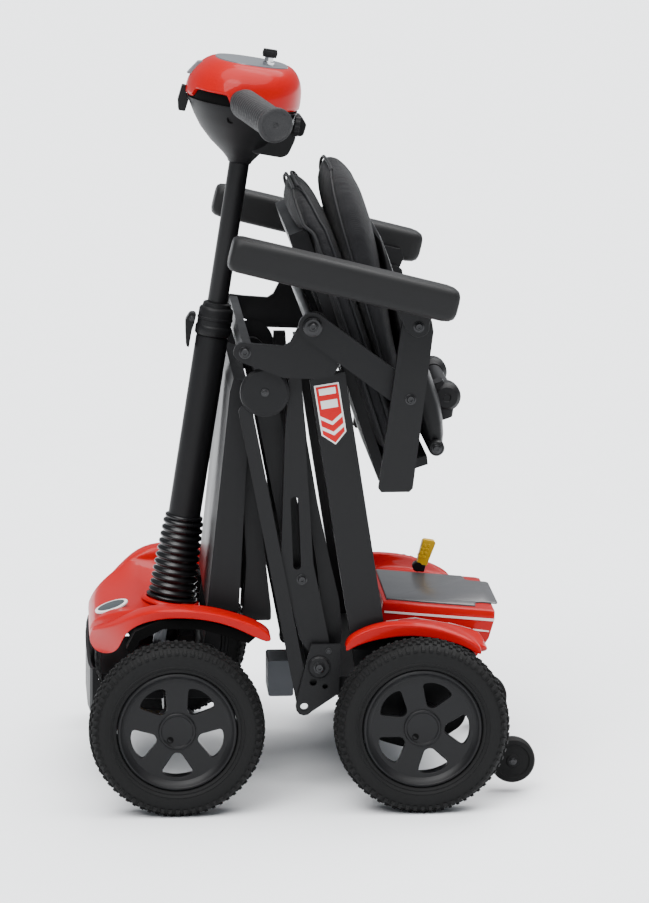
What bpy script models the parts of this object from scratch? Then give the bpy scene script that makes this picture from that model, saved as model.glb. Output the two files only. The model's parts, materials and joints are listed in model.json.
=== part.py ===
"""Folding four-wheel mobility scooter, modelled folded and standing on its wheels.

Stations S run rearward from the front axle, Y to the right of the rider, Z up from the
ground, all in millimetres.  Every node is one closed solid; moving nodes turn or slide
about their own origin.
"""
import math

import bmesh
import bpy
from mathutils import Matrix, Vector

# Driving dimensions, millimetres
MID_STATION = 158.0          # station of the middle of the overall length
WHEEL_R = 100.0
RIM_R = 68.0
TYRE_IN = 222.5              # inner and outer faces of the road wheels
TYRE_OUT = 272.5
REAR_AXLE = 279.0
AXLE_Z = 100.0
STEER_PIN_Y = 196.0

FOLD_LOW = (165.0, 157.5)    # lower pivot of the rear legs
FOLD_TOP = (103.5, 477.0)    # apex of the folding frame
FOLD_FRONT = (42.0, 157.5)   # pivot of the foot deck on the front frame
LINK_LOW = (148.0, 110.5)    # lower eye of the parallel links
SEAT_PIVOT = (156.8, 554.8)
ARM_PIVOT = (267.2, 472.5)
PAD_PIVOT = (275.6, 556.7)
BACK_PIVOT = (301.2, 407.4)

TILLER_BASE = (0.7, 200.0)   # tilt pivot on the steering axis
TILLER_LEAN = math.atan(0.159)
HEAD_FOOT = (83.2, 719.0)    # where the inner tube meets the control head

SEAT_TIP = (123.0, 714.0)    # upper end of the seat pan's underside
SEAT_LEAN = math.radians(18.0)

MERGE = 0.00001              # welding distance, metres
SHARP = math.radians(32.0)

WING_Y = 207.0               # half width of the front cover
NOSE_PLAN = ((-99.0, 84.0), (-90.0, 112.0), (-77.0, 140.0), (-60.0, 168.0), (-43.0, 190.0),
             (-12.0, 207.0))
CORNER_R = 62.0              # upper cushion corners, and where they start
CORNER_TOP = 14.0

# Colours
BLACK = (0.020, 0.020, 0.022)
SATIN = (0.030, 0.030, 0.033)
RUBBER = (0.016, 0.016, 0.017)
RED = (0.80, 0.012, 0.016)
GREY = (0.30, 0.31, 0.33)
STEEL = (0.45, 0.46, 0.48)
YELLOW = (0.72, 0.47, 0.02)
FABRIC = (0.018, 0.018, 0.020)


def clear_scene():
    for old in list(bpy.data.objects):
        bpy.data.objects.remove(old, do_unlink=True)


def metres(point):
    s, y, z = point
    return Vector(((s - MID_STATION) / 1000.0, y / 1000.0, z / 1000.0))


def material(name, colour, metallic, rough):
    mat = bpy.data.materials.new(name)
    mat.use_nodes = True
    shader = mat.node_tree.nodes["Principled BSDF"]
    shader.inputs["Base Color"].default_value = (*colour, 1.0)
    shader.inputs["Metallic"].default_value = metallic
    shader.inputs["Roughness"].default_value = rough
    mat.diffuse_color = (*colour, 1.0)
    return mat


def finished(name, mesh, colour, pivot=None, rough=0.45, metallic=0.0):
    """Part from a closed mesh in row coordinates, with its origin at the pivot."""
    origin = metres(pivot) if pivot else Vector((0.0, 0.0, 0.0))
    mesh.name = name
    mesh.transform(Matrix.Translation(-origin))
    work = bmesh.new()
    work.from_mesh(mesh)
    bmesh.ops.remove_doubles(work, verts=work.verts[:], dist=MERGE)
    bmesh.ops.dissolve_degenerate(work, edges=work.edges[:], dist=MERGE)
    bmesh.ops.recalc_face_normals(work, faces=work.faces[:])
    bmesh.ops.triangulate(work, faces=work.faces[:])
    work.to_mesh(mesh)
    work.free()
    for poly in mesh.polygons:
        poly.use_smooth = True
    mesh.set_sharp_from_angle(angle=SHARP)
    mesh.materials.clear()
    mesh.materials.append(material(name + "_finish", colour, metallic, rough))
    part = bpy.data.objects.new(name, mesh)
    part.location = origin
    PARTS.objects.link(part)
    return part


def baked(draft):
    """Evaluated mesh of a placed curve or modified object, which is then dropped."""
    PARTS.objects.link(draft)
    bpy.context.view_layer.update()
    graph = bpy.context.evaluated_depsgraph_get()
    mesh = bpy.data.meshes.new_from_object(draft.evaluated_get(graph))
    mesh.transform(draft.matrix_world)
    bpy.data.objects.remove(draft, do_unlink=True)
    return mesh


def fuse(first, others, mode="UNION"):
    """Join closed solids into one (or cut them away) and drop the operands."""
    for other in others:
        mod = first.modifiers.new("join", "BOOLEAN")
        mod.operation = mode
        mod.solver = "EXACT"
        mod.object = other
    bpy.context.view_layer.update()
    graph = bpy.context.evaluated_depsgraph_get()
    mesh = bpy.data.meshes.new_from_object(first.evaluated_get(graph))
    first.modifiers.clear()
    first.data = mesh
    for other in others:
        bpy.data.objects.remove(other, do_unlink=True)
    work = bmesh.new()
    work.from_mesh(mesh)
    bmesh.ops.remove_doubles(work, verts=work.verts[:], dist=0.00001)
    bmesh.ops.triangulate(work, faces=work.faces[:])
    work.to_mesh(mesh)
    work.free()
    while len(mesh.materials) > 1:
        mesh.materials.pop()
    for poly in mesh.polygons:
        poly.material_index = 0
    return first


def circle(centre, radius, count=16, start=0.0):
    step = 2.0 * math.pi / count
    return [
        (centre[0] + radius * math.cos(start + i * step),
         centre[1] + radius * math.sin(start + i * step))
        for i in range(count)
    ]


def stadium(first, last, radius, count=8):
    """Outline of a bar with round ends between two points."""
    angle = math.atan2(last[1] - first[1], last[0] - first[0])
    outline = []
    for centre, base in ((last, angle - math.pi / 2), (first, angle + math.pi / 2)):
        for i in range(count + 1):
            turn = base + math.pi * i / count
            outline.append((centre[0] + radius * math.cos(turn),
                            centre[1] + radius * math.sin(turn)))
    return outline


def rounded_box(centre, length, height, radius, angle=0.0, count=4):
    corners = ((1, 1, 0.0), (-1, 1, 0.5), (-1, -1, 1.0), (1, -1, 1.5))
    outline = []
    for side, top, base in corners:
        for i in range(count + 1):
            turn = math.pi * (base + 0.5 * i / count)
            a = side * (length / 2 - radius) + radius * math.cos(turn)
            b = top * (height / 2 - radius) + radius * math.sin(turn)
            outline.append((centre[0] + a * math.cos(angle) - b * math.sin(angle),
                            centre[1] + a * math.sin(angle) + b * math.cos(angle)))
    return outline


def pulled(name, loops, thickness, placement):
    """Mesh of a filled 2D curve, its further loops being holes, extruded both ways."""
    curve = bpy.data.curves.new(name, "CURVE")
    curve.dimensions = "2D"
    curve.fill_mode = "BOTH"
    curve.extrude = thickness / 2000.0
    for loop in loops:
        line = curve.splines.new("POLY")
        line.points.add(len(loop) - 1)
        for knot, (across, up) in zip(line.points, loop):
            knot.co = (across / 1000.0, up / 1000.0, 0.0, 1.0)
        line.use_cyclic_u = True
    draft = bpy.data.objects.new(name, curve)
    draft.matrix_world = placement
    return baked(draft)


def plate(name, outline, y0, y1, colour, holes=(), pivot=None, **look):
    """Side outline with optional hole outlines, pulled from y0 to y1."""
    loops = [[(s - MID_STATION, z) for s, z in loop] for loop in (outline, *holes)]
    place = Matrix.Translation((0.0, (y0 + y1) / 2000.0, 0.0)) @ Matrix.Rotation(math.pi / 2, 4, "X")
    return finished(name, pulled(name, loops, abs(y1 - y0), place), colour, pivot, **look)


def plan_plate(name, outline, z0, z1, colour, pivot=None, **look):
    """Plan outline of (s, y), pulled from z0 to z1."""
    loops = [[(s - MID_STATION, y) for s, y in outline]]
    place = Matrix.Translation((0.0, 0.0, (z0 + z1) / 2000.0))
    return finished(name, pulled(name, loops, abs(z1 - z0), place), colour, pivot, **look)


def loft(name, rings, colour, pivot=None, **look):
    """Skin through unlike sections of equal length, capped at both ends."""
    count = len(rings[0])
    verts = [metres(point) for ring in rings for point in ring]
    faces = [list(range(count)), [len(verts) - 1 - i for i in range(count)]]
    for row in range(len(rings) - 1):
        base = row * count
        for i in range(count):
            j = (i + 1) % count
            faces.append([base + i, base + j, base + count + j, base + count + i])
    mesh = bpy.data.meshes.new(name)
    mesh.from_pydata(verts, [], faces)
    return finished(name, mesh, colour, pivot, **look)


def turned(name, foot, axis, profile, colour, count=24, pivot=None, ring=False, **look):
    """Profile of (radius, distance along the axis), swept round it by a Screw modifier."""
    verts = [(radius / 1000.0, 0.0, distance / 1000.0) for radius, distance in profile]
    edges = [(i, i + 1) for i in range(len(verts) - 1)]
    if ring:
        edges.append((len(verts) - 1, 0))
    mesh = bpy.data.meshes.new(name)
    mesh.from_pydata(verts, edges, [])
    draft = bpy.data.objects.new(name, mesh)
    screw = draft.modifiers.new("screw", "SCREW")
    screw.axis = "Z"
    screw.steps = count
    screw.render_steps = count
    screw.use_merge_vertices = True
    screw.merge_threshold = MERGE
    spin = Vector(axis).to_track_quat("Z", "Y").to_matrix().to_4x4()
    draft.matrix_world = Matrix.Translation(metres(foot)) @ spin
    return finished(name, baked(draft), colour, pivot, **look)


def rod(radius, start, end):
    """Turned profile of a plain rod."""
    return [(0.0, start), (radius, start), (radius, end), (0.0, end)]


def block(name, s0, s1, y0, y1, z0, z1, colour, pivot=None, **look):
    size = Matrix.Diagonal(((s1 - s0) / 1000.0, (y1 - y0) / 1000.0, (z1 - z0) / 1000.0, 1.0))
    middle = metres(((s0 + s1) / 2, (y0 + y1) / 2, (z0 + z1) / 2))
    work = bmesh.new()
    bmesh.ops.create_cube(work, size=1.0, matrix=Matrix.Translation(middle) @ size)
    mesh = bpy.data.meshes.new(name)
    work.to_mesh(mesh)
    work.free()
    return finished(name, mesh, colour, pivot, **look)


def seat_point(p, q):
    """Point p down the seat pan and q out of its underside."""
    return (SEAT_TIP[0] + p * math.sin(SEAT_LEAN) + q * math.cos(SEAT_LEAN),
            SEAT_TIP[1] - p * math.cos(SEAT_LEAN) + q * math.sin(SEAT_LEAN))


def tiller_point(foot, a, b=0.0):
    """Point a up the tiller axis from a foot on it and b to the rear of it."""
    return (foot[0] + a * math.sin(TILLER_LEAN) + b * math.cos(TILLER_LEAN),
            foot[1] + a * math.cos(TILLER_LEAN) - b * math.sin(TILLER_LEAN))


def tiller_axis():
    return (math.sin(TILLER_LEAN), 0.0, math.cos(TILLER_LEAN))


def side_name(side):
    return "l" if side < 0 else "r"


def span(side, inner, outer):
    return (side * inner, side * outer)


# Rear frame

def rear_chassis():
    plate("chassis_tray", [(146, 126), (352, 126), (352, 143.5), (146, 143.5)],
          -185.5, 185.5, SATIN)
    profile = [(0, -226), (9, -226), (9, -104), (22, -100), (25, -90), (25, 40),
               (20, 44), (20, 96), (16, 100), (9, 104), (9, 226), (0, 226)]
    turned("transaxle", (REAR_AXLE, 0, AXLE_Z), (0, 1, 0), profile, SATIN, 20, metallic=0.4)
    box = rounded_box((129.0, 107.5), 30.0, 43.0, 3.0)
    plate("actuator_box", box, -32.0, 32.0, STEEL, metallic=0.7, rough=0.35)


def side_frames():
    for side in (-1, 1):
        tag = side_name(side)
        y0, y1 = span(side, 167.0, 190.0)
        plate("main_beam_" + tag,
              [(208.7, 144), (249.7, 144), (195, 499), (155, 490)], y0, y1, SATIN)
        y0, y1 = span(side, 167.0, 185.5)
        slot = stadium((140.5, 274.0), (137.5, 350.0), 4.5, 6)
        post = [(158, 166.5), (181, 166.5), (159, 277), (145.5, 493),
                (131.2, 493), (130.6, 470), (127, 430), (122, 277), (143, 189)]
        plate("front_post_" + tag, post, y0, y1, SATIN, [slot])
        y0, y1 = span(side, 191.6, 195.6)
        bracket = [(156, 184), (139, 119)] + circle(LINK_LOW, 10.0, 12, math.radians(175))[0:6]
        bracket += [(188, 126), (190, 184)]
        holes = [circle(LINK_LOW, 4.6, 12), circle(FOLD_LOW, 8.3, 16),
                 circle((158.3, 139.5), 4.2, 12), circle((172.0, 134.5), 3.2, 12)]
        plate("bracket_" + tag, bracket, y0, y1, BLACK, holes)
        y0, y1 = span(side, 196.6, 204.6)
        outline = [(76, 513.5), (100, 504.5), (124, 495.2), (161, 493.6), (181, 497),
                   (187, 508), (175.5, 560), (170, 567), (163, 570.2), (153, 569),
                   (146, 563), (132, 536), (125, 531.6), (95, 534)]
        outline += circle((79.0, 524.6), 11.5, 12, math.radians(50))[1:7]
        plate("seat_plate_" + tag, outline, y0, y1, SATIN, [circle(SEAT_PIVOT, 6.3, 12)])
    strap = [(76, 513), (88.5, 513), (90.0, 524), (88, 534), (78, 535), (75.2, 524)]
    plate("cross_strap", strap, -196.3, 196.3, GREY)


def shafts():
    head = [(0, -219), (9, -219), (11, -217.5), (11, -214), (6, -214), (6, 214),
            (11, 214), (11, 217.5), (9, 219), (0, 219)]
    turned("seat_pivot_shaft", (SEAT_PIVOT[0], 0, SEAT_PIVOT[1]), (0, 1, 0), head, STEEL, 16,
           metallic=0.8)
    cap = [(0, -195.6), (25, -195.6), (28, -194), (28.5, -191.4), (7, -191.4), (7, 191.4),
           (28.5, 191.4), (28, 194), (25, 195.6), (0, 195.6)]
    pivot = (FOLD_TOP[0], 0, FOLD_TOP[1])
    turned("apex_shaft", pivot, (0, 1, 0), cap, BLACK, 32, pivot)


def rear_cover():
    """Red body between the rear wheels, with a well for the battery and two wings."""
    half = [
        arch_ring(215, -1.5),
        arch_ring(212, 0.5),
        arch_ring(204, 2.0),
        arch_ring(198, 1.0),
        valley_ring(190.8, 172),
        valley_ring(120, 162),
        block_ring(99, 206, 0.0),
        block_ring(95, 212.4, 0.0),
        block_ring(88.6, 213, 0.0),
        block_ring(88.5, 213, -28.0),
    ]
    rings = half + [[(s, -y, z) for s, y, z in ring] for ring in reversed(half)]
    loft("rear_cover", rings, RED, rough=0.2)


def block_ring(y, top, drop):
    """Section of the battery housing, lowered inside the well."""
    front = [(252, 146.5), (243, 168), (243, 200), (246, top)]
    deck = [(250, top - 0.4), (250, top - 0.5 + drop), (300, top - 5 + drop),
            (366, top - 11 + drop), (366, top - 11.1)]
    back = [(377, top - 13), (375, 190), (366, 165), (356, 146.5)]
    return [(s, y, z) for s, z in front + deck + back]


def arch_ring(y, rise):
    """Section of a wing over a rear wheel."""
    top = [(194, 181), (196, 193), (216, 204), (238, 210), (258, 211), (280, 209.5),
           (304, 205), (330, 195), (350, 184)]
    under = [(352, 172), (322, 189), (270, 199), (220, 192)]
    return [(s, y, z + rise) for s, z in top + under]


def valley_ring(y, floor):
    """Section of the low ground between a wing and the battery housing."""
    line = [(254, floor), (254, floor + 8), (256, 190), (262, 196), (282, 196), (306, 193),
            (338, 187), (362, 179), (371, 175)]
    under = [(364, floor), (330, floor), (290, floor), (270, floor)]
    return [(s, y, z) for s, z in line + under]


def battery():
    top = 213.0
    pivot = (308, 0, 190)
    box = [(251, top - 27), (300, top - 32), (365, top - 38), (365, top - 11.4),
           (251, top - 0.6)]
    body = plate("battery_pack", box, -88, 88, GREY, pivot=pivot, metallic=0.6, rough=0.35)
    tongue = [(360, top - 15.0), (363, top - 11.0), (378, top - 12.2), (382, top - 14),
              (382, top - 11), (376, top - 10), (360, top - 9)]
    lip = plate("lip", [(s + (2.5 if s > 364 else 0), z + 1.2) for s, z in tongue],
                -62, 62, GREY)
    fuse(body, [lip])


def freewheel_lever():
    pivot = (302, 105.5, 214)
    outline = [(320, 247), (318, 251), (304, 251), (302, 248)]
    outline += circle((302, 214), 6.0, 16, math.radians(170))[0:9]
    plate("freewheel_lever", outline, 99, 112, YELLOW, pivot=pivot)


def anti_tip():
    arms = []
    for side in (-1, 1):
        y0, y1 = span(side, 146, 154)
        arms.append(plate("arm" + side_name(side),
                          [(338, 125.6), (356, 125.6), (399, 40), (391, 29), (383, 34)],
                          y0, y1, SATIN))
    bar = block("antitip_frame", 340, 354, -154, 154, 114, 125.6, SATIN)
    fuse(bar, arms)
    for side in (-1, 1):
        profile = [(0, 0), (20, 0), (26.5, 3), (26.5, 17), (20, 20), (0, 20)]
        foot = (391.5, side * 155, 38)
        turned("antitip_wheel_" + side_name(side), foot, (0, side, 0), profile, RUBBER, 24,
               pivot=foot)


# Folding links

def folding_links():
    bars = []
    for side in (-1, 1):
        y0, y1 = span(side, 148.5, 158.5)
        bars.append(plate("leg" + side_name(side), stadium(FOLD_LOW, FOLD_TOP, 13), y0, y1,
                          SATIN, [circle(FOLD_TOP, 7.3)]))
    middle = (FOLD_LOW[0] * 0.62 + FOLD_TOP[0] * 0.38, FOLD_LOW[1] * 0.62 + FOLD_TOP[1] * 0.38)
    upper = (FOLD_LOW[0] * 0.42 + FOLD_TOP[0] * 0.58, FOLD_LOW[1] * 0.42 + FOLD_TOP[1] * 0.58)
    pivot = (FOLD_LOW[0], 0, FOLD_LOW[1])
    web = plate("rear_leg", stadium(middle, upper, 7), -150, 150, SATIN, pivot=pivot)
    head = [(0, -200), (11, -200), (13, -198), (13, -196), (8, -196), (8, 196),
            (13, 196), (13, 198), (11, 200), (0, 200)]
    bars.append(turned("shaft", pivot, (0, 1, 0), head, STEEL, 16))
    fuse(web, bars)
    lean = (FOLD_TOP[0] - FOLD_LOW[0], FOLD_TOP[1] - FOLD_LOW[1])
    reach = 350.0 / math.hypot(*lean)
    top = (LINK_LOW[0] + lean[0] * reach, LINK_LOW[1] + lean[1] * reach)
    for side in (-1, 1):
        y0, y1 = span(side, 186.5, 190.7)
        plate("link_bar_" + side_name(side), stadium(LINK_LOW, top, 8), y0, y1, SATIN,
              [circle(LINK_LOW, 4.6, 12)], pivot=(LINK_LOW[0], side * 188.6, LINK_LOW[1]))


def foot_deck():
    outline = [(38, 214), (75, 214), (88.5, 462), (86, 481), (70, 486), (65.5, 470)]
    pivot = (FOLD_TOP[0], 0, FOLD_TOP[1])
    deck = plate("foot_deck", outline, -146, 146, SATIN, pivot=pivot)
    lugs = []
    for side in (-1, 1):
        y0, y1 = span(side, 106, 114)
        lugs.append(plate("lug" + side_name(side), stadium(FOLD_FRONT, (55, 226), 9), y0, y1,
                          SATIN, [circle(FOLD_FRONT, 5.3, 12)]))
        y0, y1 = span(side, 138, 146)
        lugs.append(plate("eye" + side_name(side), stadium((82, 462), FOLD_TOP, 14), y0, y1,
                          SATIN, [circle(FOLD_TOP, 7.3, 16)]))
    fuse(deck, lugs)


# Front frame and steering

def front_frame():
    base = [(-84, 118), (50, 118), (50, 150)]
    base += circle(FOLD_FRONT, 10.0, 12, 0.0)[0:7]
    base += [(30, 132), (-84, 132)]
    chassis = plate("front_chassis", base, -104, 104, SATIN)
    beam = block("beam", -13, 13, -178, 178, 92, 122, SATIN)
    pin = turned("pin", (FOLD_FRONT[0], 0, FOLD_FRONT[1]), (0, 1, 0), rod(5.0, -117, 117),
                 STEEL, 12)
    fuse(chassis, [beam, pin])
    bumper = [(-102, 98), (-99, 90), (-92, 92), (-91, 130), (-97, 140), (-98, 150), (-101.5, 149)]
    rings = []
    for y, back in ((-152, 7), (-146, 4), (-110, 1.5), (0, 0), (110, 1.5), (146, 4), (152, 7)):
        rings.append([(s + back, y, z) for s, z in bumper])
    loft("front_bumper", rings, GREY, rough=0.5)


def front_cover():
    """Red nose, round in plan, with two wings that run back beside the foot deck."""
    half = [
        wing_ring(207, -1.5),
        wing_ring(205, 0.5),
        wing_ring(196, 2.0),
        wing_ring(180, 2.0),
        wing_ring(172, 1.0),
        nose_ring(164, 12.0),
        nose_ring(140, 8.0),
        nose_ring(90, 2.0),
        nose_ring(45, 0.0),
    ]
    rings = half + [[(s, -y, z) for s, y, z in ring] for ring in reversed(half)]
    shell = loft("front_cover", rings, RED, rough=0.2)
    foot = tiller_point(TILLER_BASE, -30)
    hole = turned("hole", (foot[0], 0, foot[1]), tiller_axis(), rod(19, 0, 40), RED, 24)
    fuse(shell, [hole], "DIFFERENCE")


def wing_ring(y, rise):
    """Section of a wing: the nose's side wall, then a thin band over the wheel."""
    top = [(-92, 162), (-98, 170), (-97, 182), (-77, 193), (-43, 221), (-14, 229), (34, 227),
           (72, 217), (112, 201)]
    under = [(110, 182), (72, 207), (34, 218), (-14, 220), (-46, 207), (-58, 192), (-63, 177),
             (-70, 167), (-82, 162)]
    outline = [(s, z + rise) for s, z in top] + under
    return [(s, drawn_in(s, y), z) for s, z in outline]


def nose_ring(y, rise):
    """Section of the nose, whose middle dips below the boot."""
    top = [(-90, 153), (-98, 164), (-98, 186), (-86, 201), (-62, 205), (-40, 203),
           (-28, 196), (4, 193), (31, 192)]
    under = [(31, 187), (4, 188), (-28, 190), (-46, 194), (-66, 195), (-82, 190), (-90, 178),
             (-90, 166), (-84, 155)]
    lift = [0.4, 0.2, -0.2, -0.2, 0.6, 1.4, 1.6, 1.6, 1.6]
    outline = [(s, z + rise * share) for (s, z), share in zip(top, lift)]
    outline += [(s, z + rise * share) for (s, z), share in zip(under, reversed(lift))]
    return [(s, drawn_in(s, y), z) for s, z in outline]


def drawn_in(s, y):
    """Side position once the nose is rounded in plan ahead of the wheels."""
    width = WING_Y
    for (s0, w0), (s1, w1) in zip(NOSE_PLAN, NOSE_PLAN[1:]):
        if s0 <= s <= s1:
            width = w0 + (w1 - w0) * (s - s0) / (s1 - s0)
    return y * width / WING_Y


def steering():
    foot = (TILLER_BASE[0], 0, TILLER_BASE[1])
    turned("steer_stem", foot, tiller_axis(), rod(14, -64, -3), STEEL, 20, pivot=foot,
           metallic=0.8)
    profile = [(19.6, 100.0)]
    profile += [(19.6, 8.0), (21.5, 1.0), (28.0, 1.0)]
    ribs = 10
    pitch = 9.2
    for i in range(ribs):
        radius = 29.0 - 5.0 * i / (ribs - 1)
        low = 2.5 + pitch * i
        profile += [(radius, low + pitch * 0.3), (radius - 3.5, low + pitch * 0.8)]
    profile += [(23.0, 98.0), (22.0, 100.0)]
    turned("boot", foot, tiller_axis(), profile, RUBBER, 24, pivot=foot, ring=True)
    for side in (-1, 1):
        plan = [(-8, 185), (8, 185), (12, 196), (9, 205), (9, 221.5), (-9, 221.5), (-10, 206),
                (-50, 196), (-52, 184), (-44, 182), (-14, 190)]
        outline = [(s, side * y) for s, y in plan]
        plan_plate("knuckle_" + side_name(side), outline, 92, 108, SATIN,
                   (0, side * STEER_PIN_Y, AXLE_Z))


# Tiller and control head

def tiller():
    base = (TILLER_BASE[0], 0, TILLER_BASE[1])
    reach = (515.0 - TILLER_BASE[1]) / math.cos(TILLER_LEAN)
    bore = 12.6
    profile = [(bore, 10.0), (19.2, 10.0), (19.2, reach), (bore, reach)]
    turned("outer_tube", base, tiller_axis(), profile, SATIN, 24, pivot=base, ring=True)
    foot = tiller_point(TILLER_BASE, reach + 0.4)
    start = (foot[0], 0, foot[1])
    collar = [(bore, 0), (21, 0), (21.6, 3), (21.6, 10), (20.6, 13), (20.6, 31), (18, 35),
              (bore + 2, 39), (bore, 39)]
    turned("clamp_collar", start, tiller_axis(), collar, BLACK, 24, ring=True)
    spot = tiller_point(TILLER_BASE, reach + 18, -28.5)
    lever = [tiller_point(TILLER_BASE, reach + a, b) for a, b in
             ((23, -24.5), (23, -32.5), (12, -35), (-16, -29), (-17, -25.6), (6, -25.0),
              (11, -24.4))]
    plate("clamp_lever", lever, -9, 9, BLACK, pivot=(spot[0], 0, spot[1]))
    foot = (HEAD_FOOT[0], 0, HEAD_FOOT[1])
    turned("inner_tube", foot, tiller_axis(), rod(12.0, -250, -0.4), SATIN, 20, pivot=foot)


def head_ring(a, front, back, half, count=24, power=2.4):
    """Rounded ring square to the tiller axis at a height a above the head's foot."""
    ring = []
    middle = (front + back) / 2
    reach = (back - front) / 2
    for i in range(count):
        turn = 2.0 * math.pi * i / count
        c = math.cos(turn)
        n = math.sin(turn)
        b = middle + reach * math.copysign(abs(c) ** (2.0 / power), c)
        y = half * math.copysign(abs(n) ** (2.0 / power), n)
        s, z = tiller_point(HEAD_FOOT, a, b)
        ring.append((s, y, z))
    return ring


def control_head():
    pivot = (HEAD_FOOT[0], 0, HEAD_FOOT[1])
    bowl = [(0, -14, 14, 14), (9, -21, 19, 24), (22, -38, 27, 42), (36, -52, 38, 60),
            (50, -62, 48, 76), (62, -69, 55, 86), (70, -73, 57, 90)]
    lower = loft("head_bowl", [head_ring(*row) for row in bowl], BLACK, pivot, rough=0.4)
    corner = [tiller_point(HEAD_FOOT, a, b) for a, b in
              ((16, 16), (22, 8), (52, 18), (54, 56), (40, 59), (18, 53), (15, 47))]
    box = plate("box", corner, -34, 34, BLACK)
    fuse(lower, [box])
    shell = [(70.6, -75, 58, 92), (84, -75, 59, 94), (98, -71, 58, 91), (108, -65, 54, 84),
             (115, -57, 48, 74), (118, -50, 42, 66)]
    loft("head_shell", [head_ring(*row) for row in shell], RED, pivot, rough=0.2)
    panel = [(118.3, -47, 39, 62), (119.6, -47, 39, 62)]
    loft("display_panel", [head_ring(*row) for row in panel], GREY, pivot)
    spot = tiller_point(HEAD_FOOT, 120.0, 14.0)
    foot = (spot[0], -30, spot[1])
    profile = [(0, 0), (8, 0), (8, 3), (5, 4), (5, 9), (8.5, 10), (8.5, 17), (0, 17)]
    turned("ignition_key", foot, tiller_axis(), profile, STEEL, 16, pivot=foot, metallic=0.9)
    for side in (-1, 1):
        root = Vector((84.0, side * 101.0, 797.6))
        tip = Vector((115.4, side * 222.0, 783.6))
        length = (tip - root).length
        profile = [(0, 0), (16.2, 0), (17.2, 6), (17.2, length - 7), (19.5, length - 5),
                   (19.5, length - 1), (17, length), (0, length)]
        turned("grip_" + side_name(side), tuple(root), tuple(tip - root), profile, RUBBER, 20,
               pivot=tuple(root))
    foot = tiller_point(HEAD_FOOT, 48.0, 66.0)
    lever = [tiller_point(HEAD_FOOT, a, b) for a, b in
             ((42, 60), (56, 60.6), (60, 66), (52, 74), (38, 72), (36, 66))]
    plate("throttle_lever", lever, 38, 96, BLACK, pivot=(foot[0], 67, foot[1]))


# Seat, backrest and arms

def seat_group():
    pivot = (SEAT_PIVOT[0], 0, SEAT_PIVOT[1])
    pan = [(62, -10), (84, -10), (92, 0), (364, 0), (364, 60), (354, 62), (352, 12), (66, 12),
           (61, 8)]
    plate("seat_pan", [seat_point(p, q) for p, q in pan], -160, 160, BLACK, pivot=pivot)
    for side in (-1, 1):
        y0, y1 = span(side, 205.6, 213.4)
        plate("seat_bar_" + side_name(side), stadium(SEAT_PIVOT, ARM_PIVOT, 16), y0, y1, SATIN,
              [circle(SEAT_PIVOT, 6.3, 12)], pivot=(SEAT_PIVOT[0], side * 209, SEAT_PIVOT[1]))
    outline = [(59, 12.6), (344, 12.6), (349, 18), (349, 34), (340, 40.5), (120, 40.5),
               (64, 37), (36, 32), (22, 24), (20, 15), (24, 7), (36, 3), (59, 1)]
    cushion("seat_cushion", outline, 190, 44.0, pivot)
    pivot = (BACK_PIVOT[0], 0, BACK_PIVOT[1])
    outline = [(20, 50), (60, 43.4), (130, 41.6), (330, 41.6), (336, 47), (336, 57),
               (328, 62), (250, 64), (160, 76), (90, 86), (44, 86), (24, 79), (14, 67),
               (14, 57)]
    cushion("back_cushion", outline, 190, 110.0, pivot)
    outline = [(100, 87), (162, 77.4), (250, 65.4), (328, 63), (338, 63.5), (350, 64.5),
               (357, 71), (357, 79), (350, 86), (334, 93), (300, 98), (262, 96), (215, 94),
               (160, 92), (104, 91)]
    shell = plate("back_shell", [seat_point(p, q) for p, q in outline], -172, 172, BLACK,
                  pivot=pivot)
    spot = seat_point(306, 106)
    profile = [(0, -112), (14, -112), (17, -109), (17, -82), (10, -78), (10, 78), (17, 82),
               (17, 109), (14, 112), (0, 112)]
    fuse(shell, [turned("grab", (spot[0], 0, spot[1]), (0, 1, 0), profile, BLACK, 20)])


def cushion(name, outline, half, reach, pivot):
    """Padded slab with drawn-in sides and upper corners that fall away over the reach."""
    middle_p = sum(p for p, q in outline) / len(outline)
    middle_q = sum(q for p, q in outline) / len(outline)
    rings = []
    for y, inset in ((half, 7), (half - 5, 2), (half - 18, 0), (half - 36, 0), (half - 62, 0)):
        rings.append((y, inset, min(corner_drop(half - y), reach * 0.8)))
    rings += [(-y, inset, drop) for y, inset, drop in reversed(rings)]
    skin = []
    for y, inset, drop in rings:
        ring = []
        for p, q in outline:
            shift_p = math.copysign(min(inset * 1.5, abs(p - middle_p)), p - middle_p)
            shift_q = math.copysign(min(inset, abs(q - middle_q)), q - middle_q)
            lowered = p - shift_p + drop * max(0.0, 1.0 - (p - CORNER_TOP) / reach)
            s, z = seat_point(lowered, q - shift_q)
            ring.append((s, y, z))
        skin.append(ring)
    loft(name, skin, FABRIC, pivot, rough=0.8)


def corner_drop(edge):
    """How far an upper corner falls away at this distance in from the side edge."""
    inward = min(edge, CORNER_R)
    return CORNER_R - math.sqrt(CORNER_R ** 2 - (CORNER_R - inward) ** 2)


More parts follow.
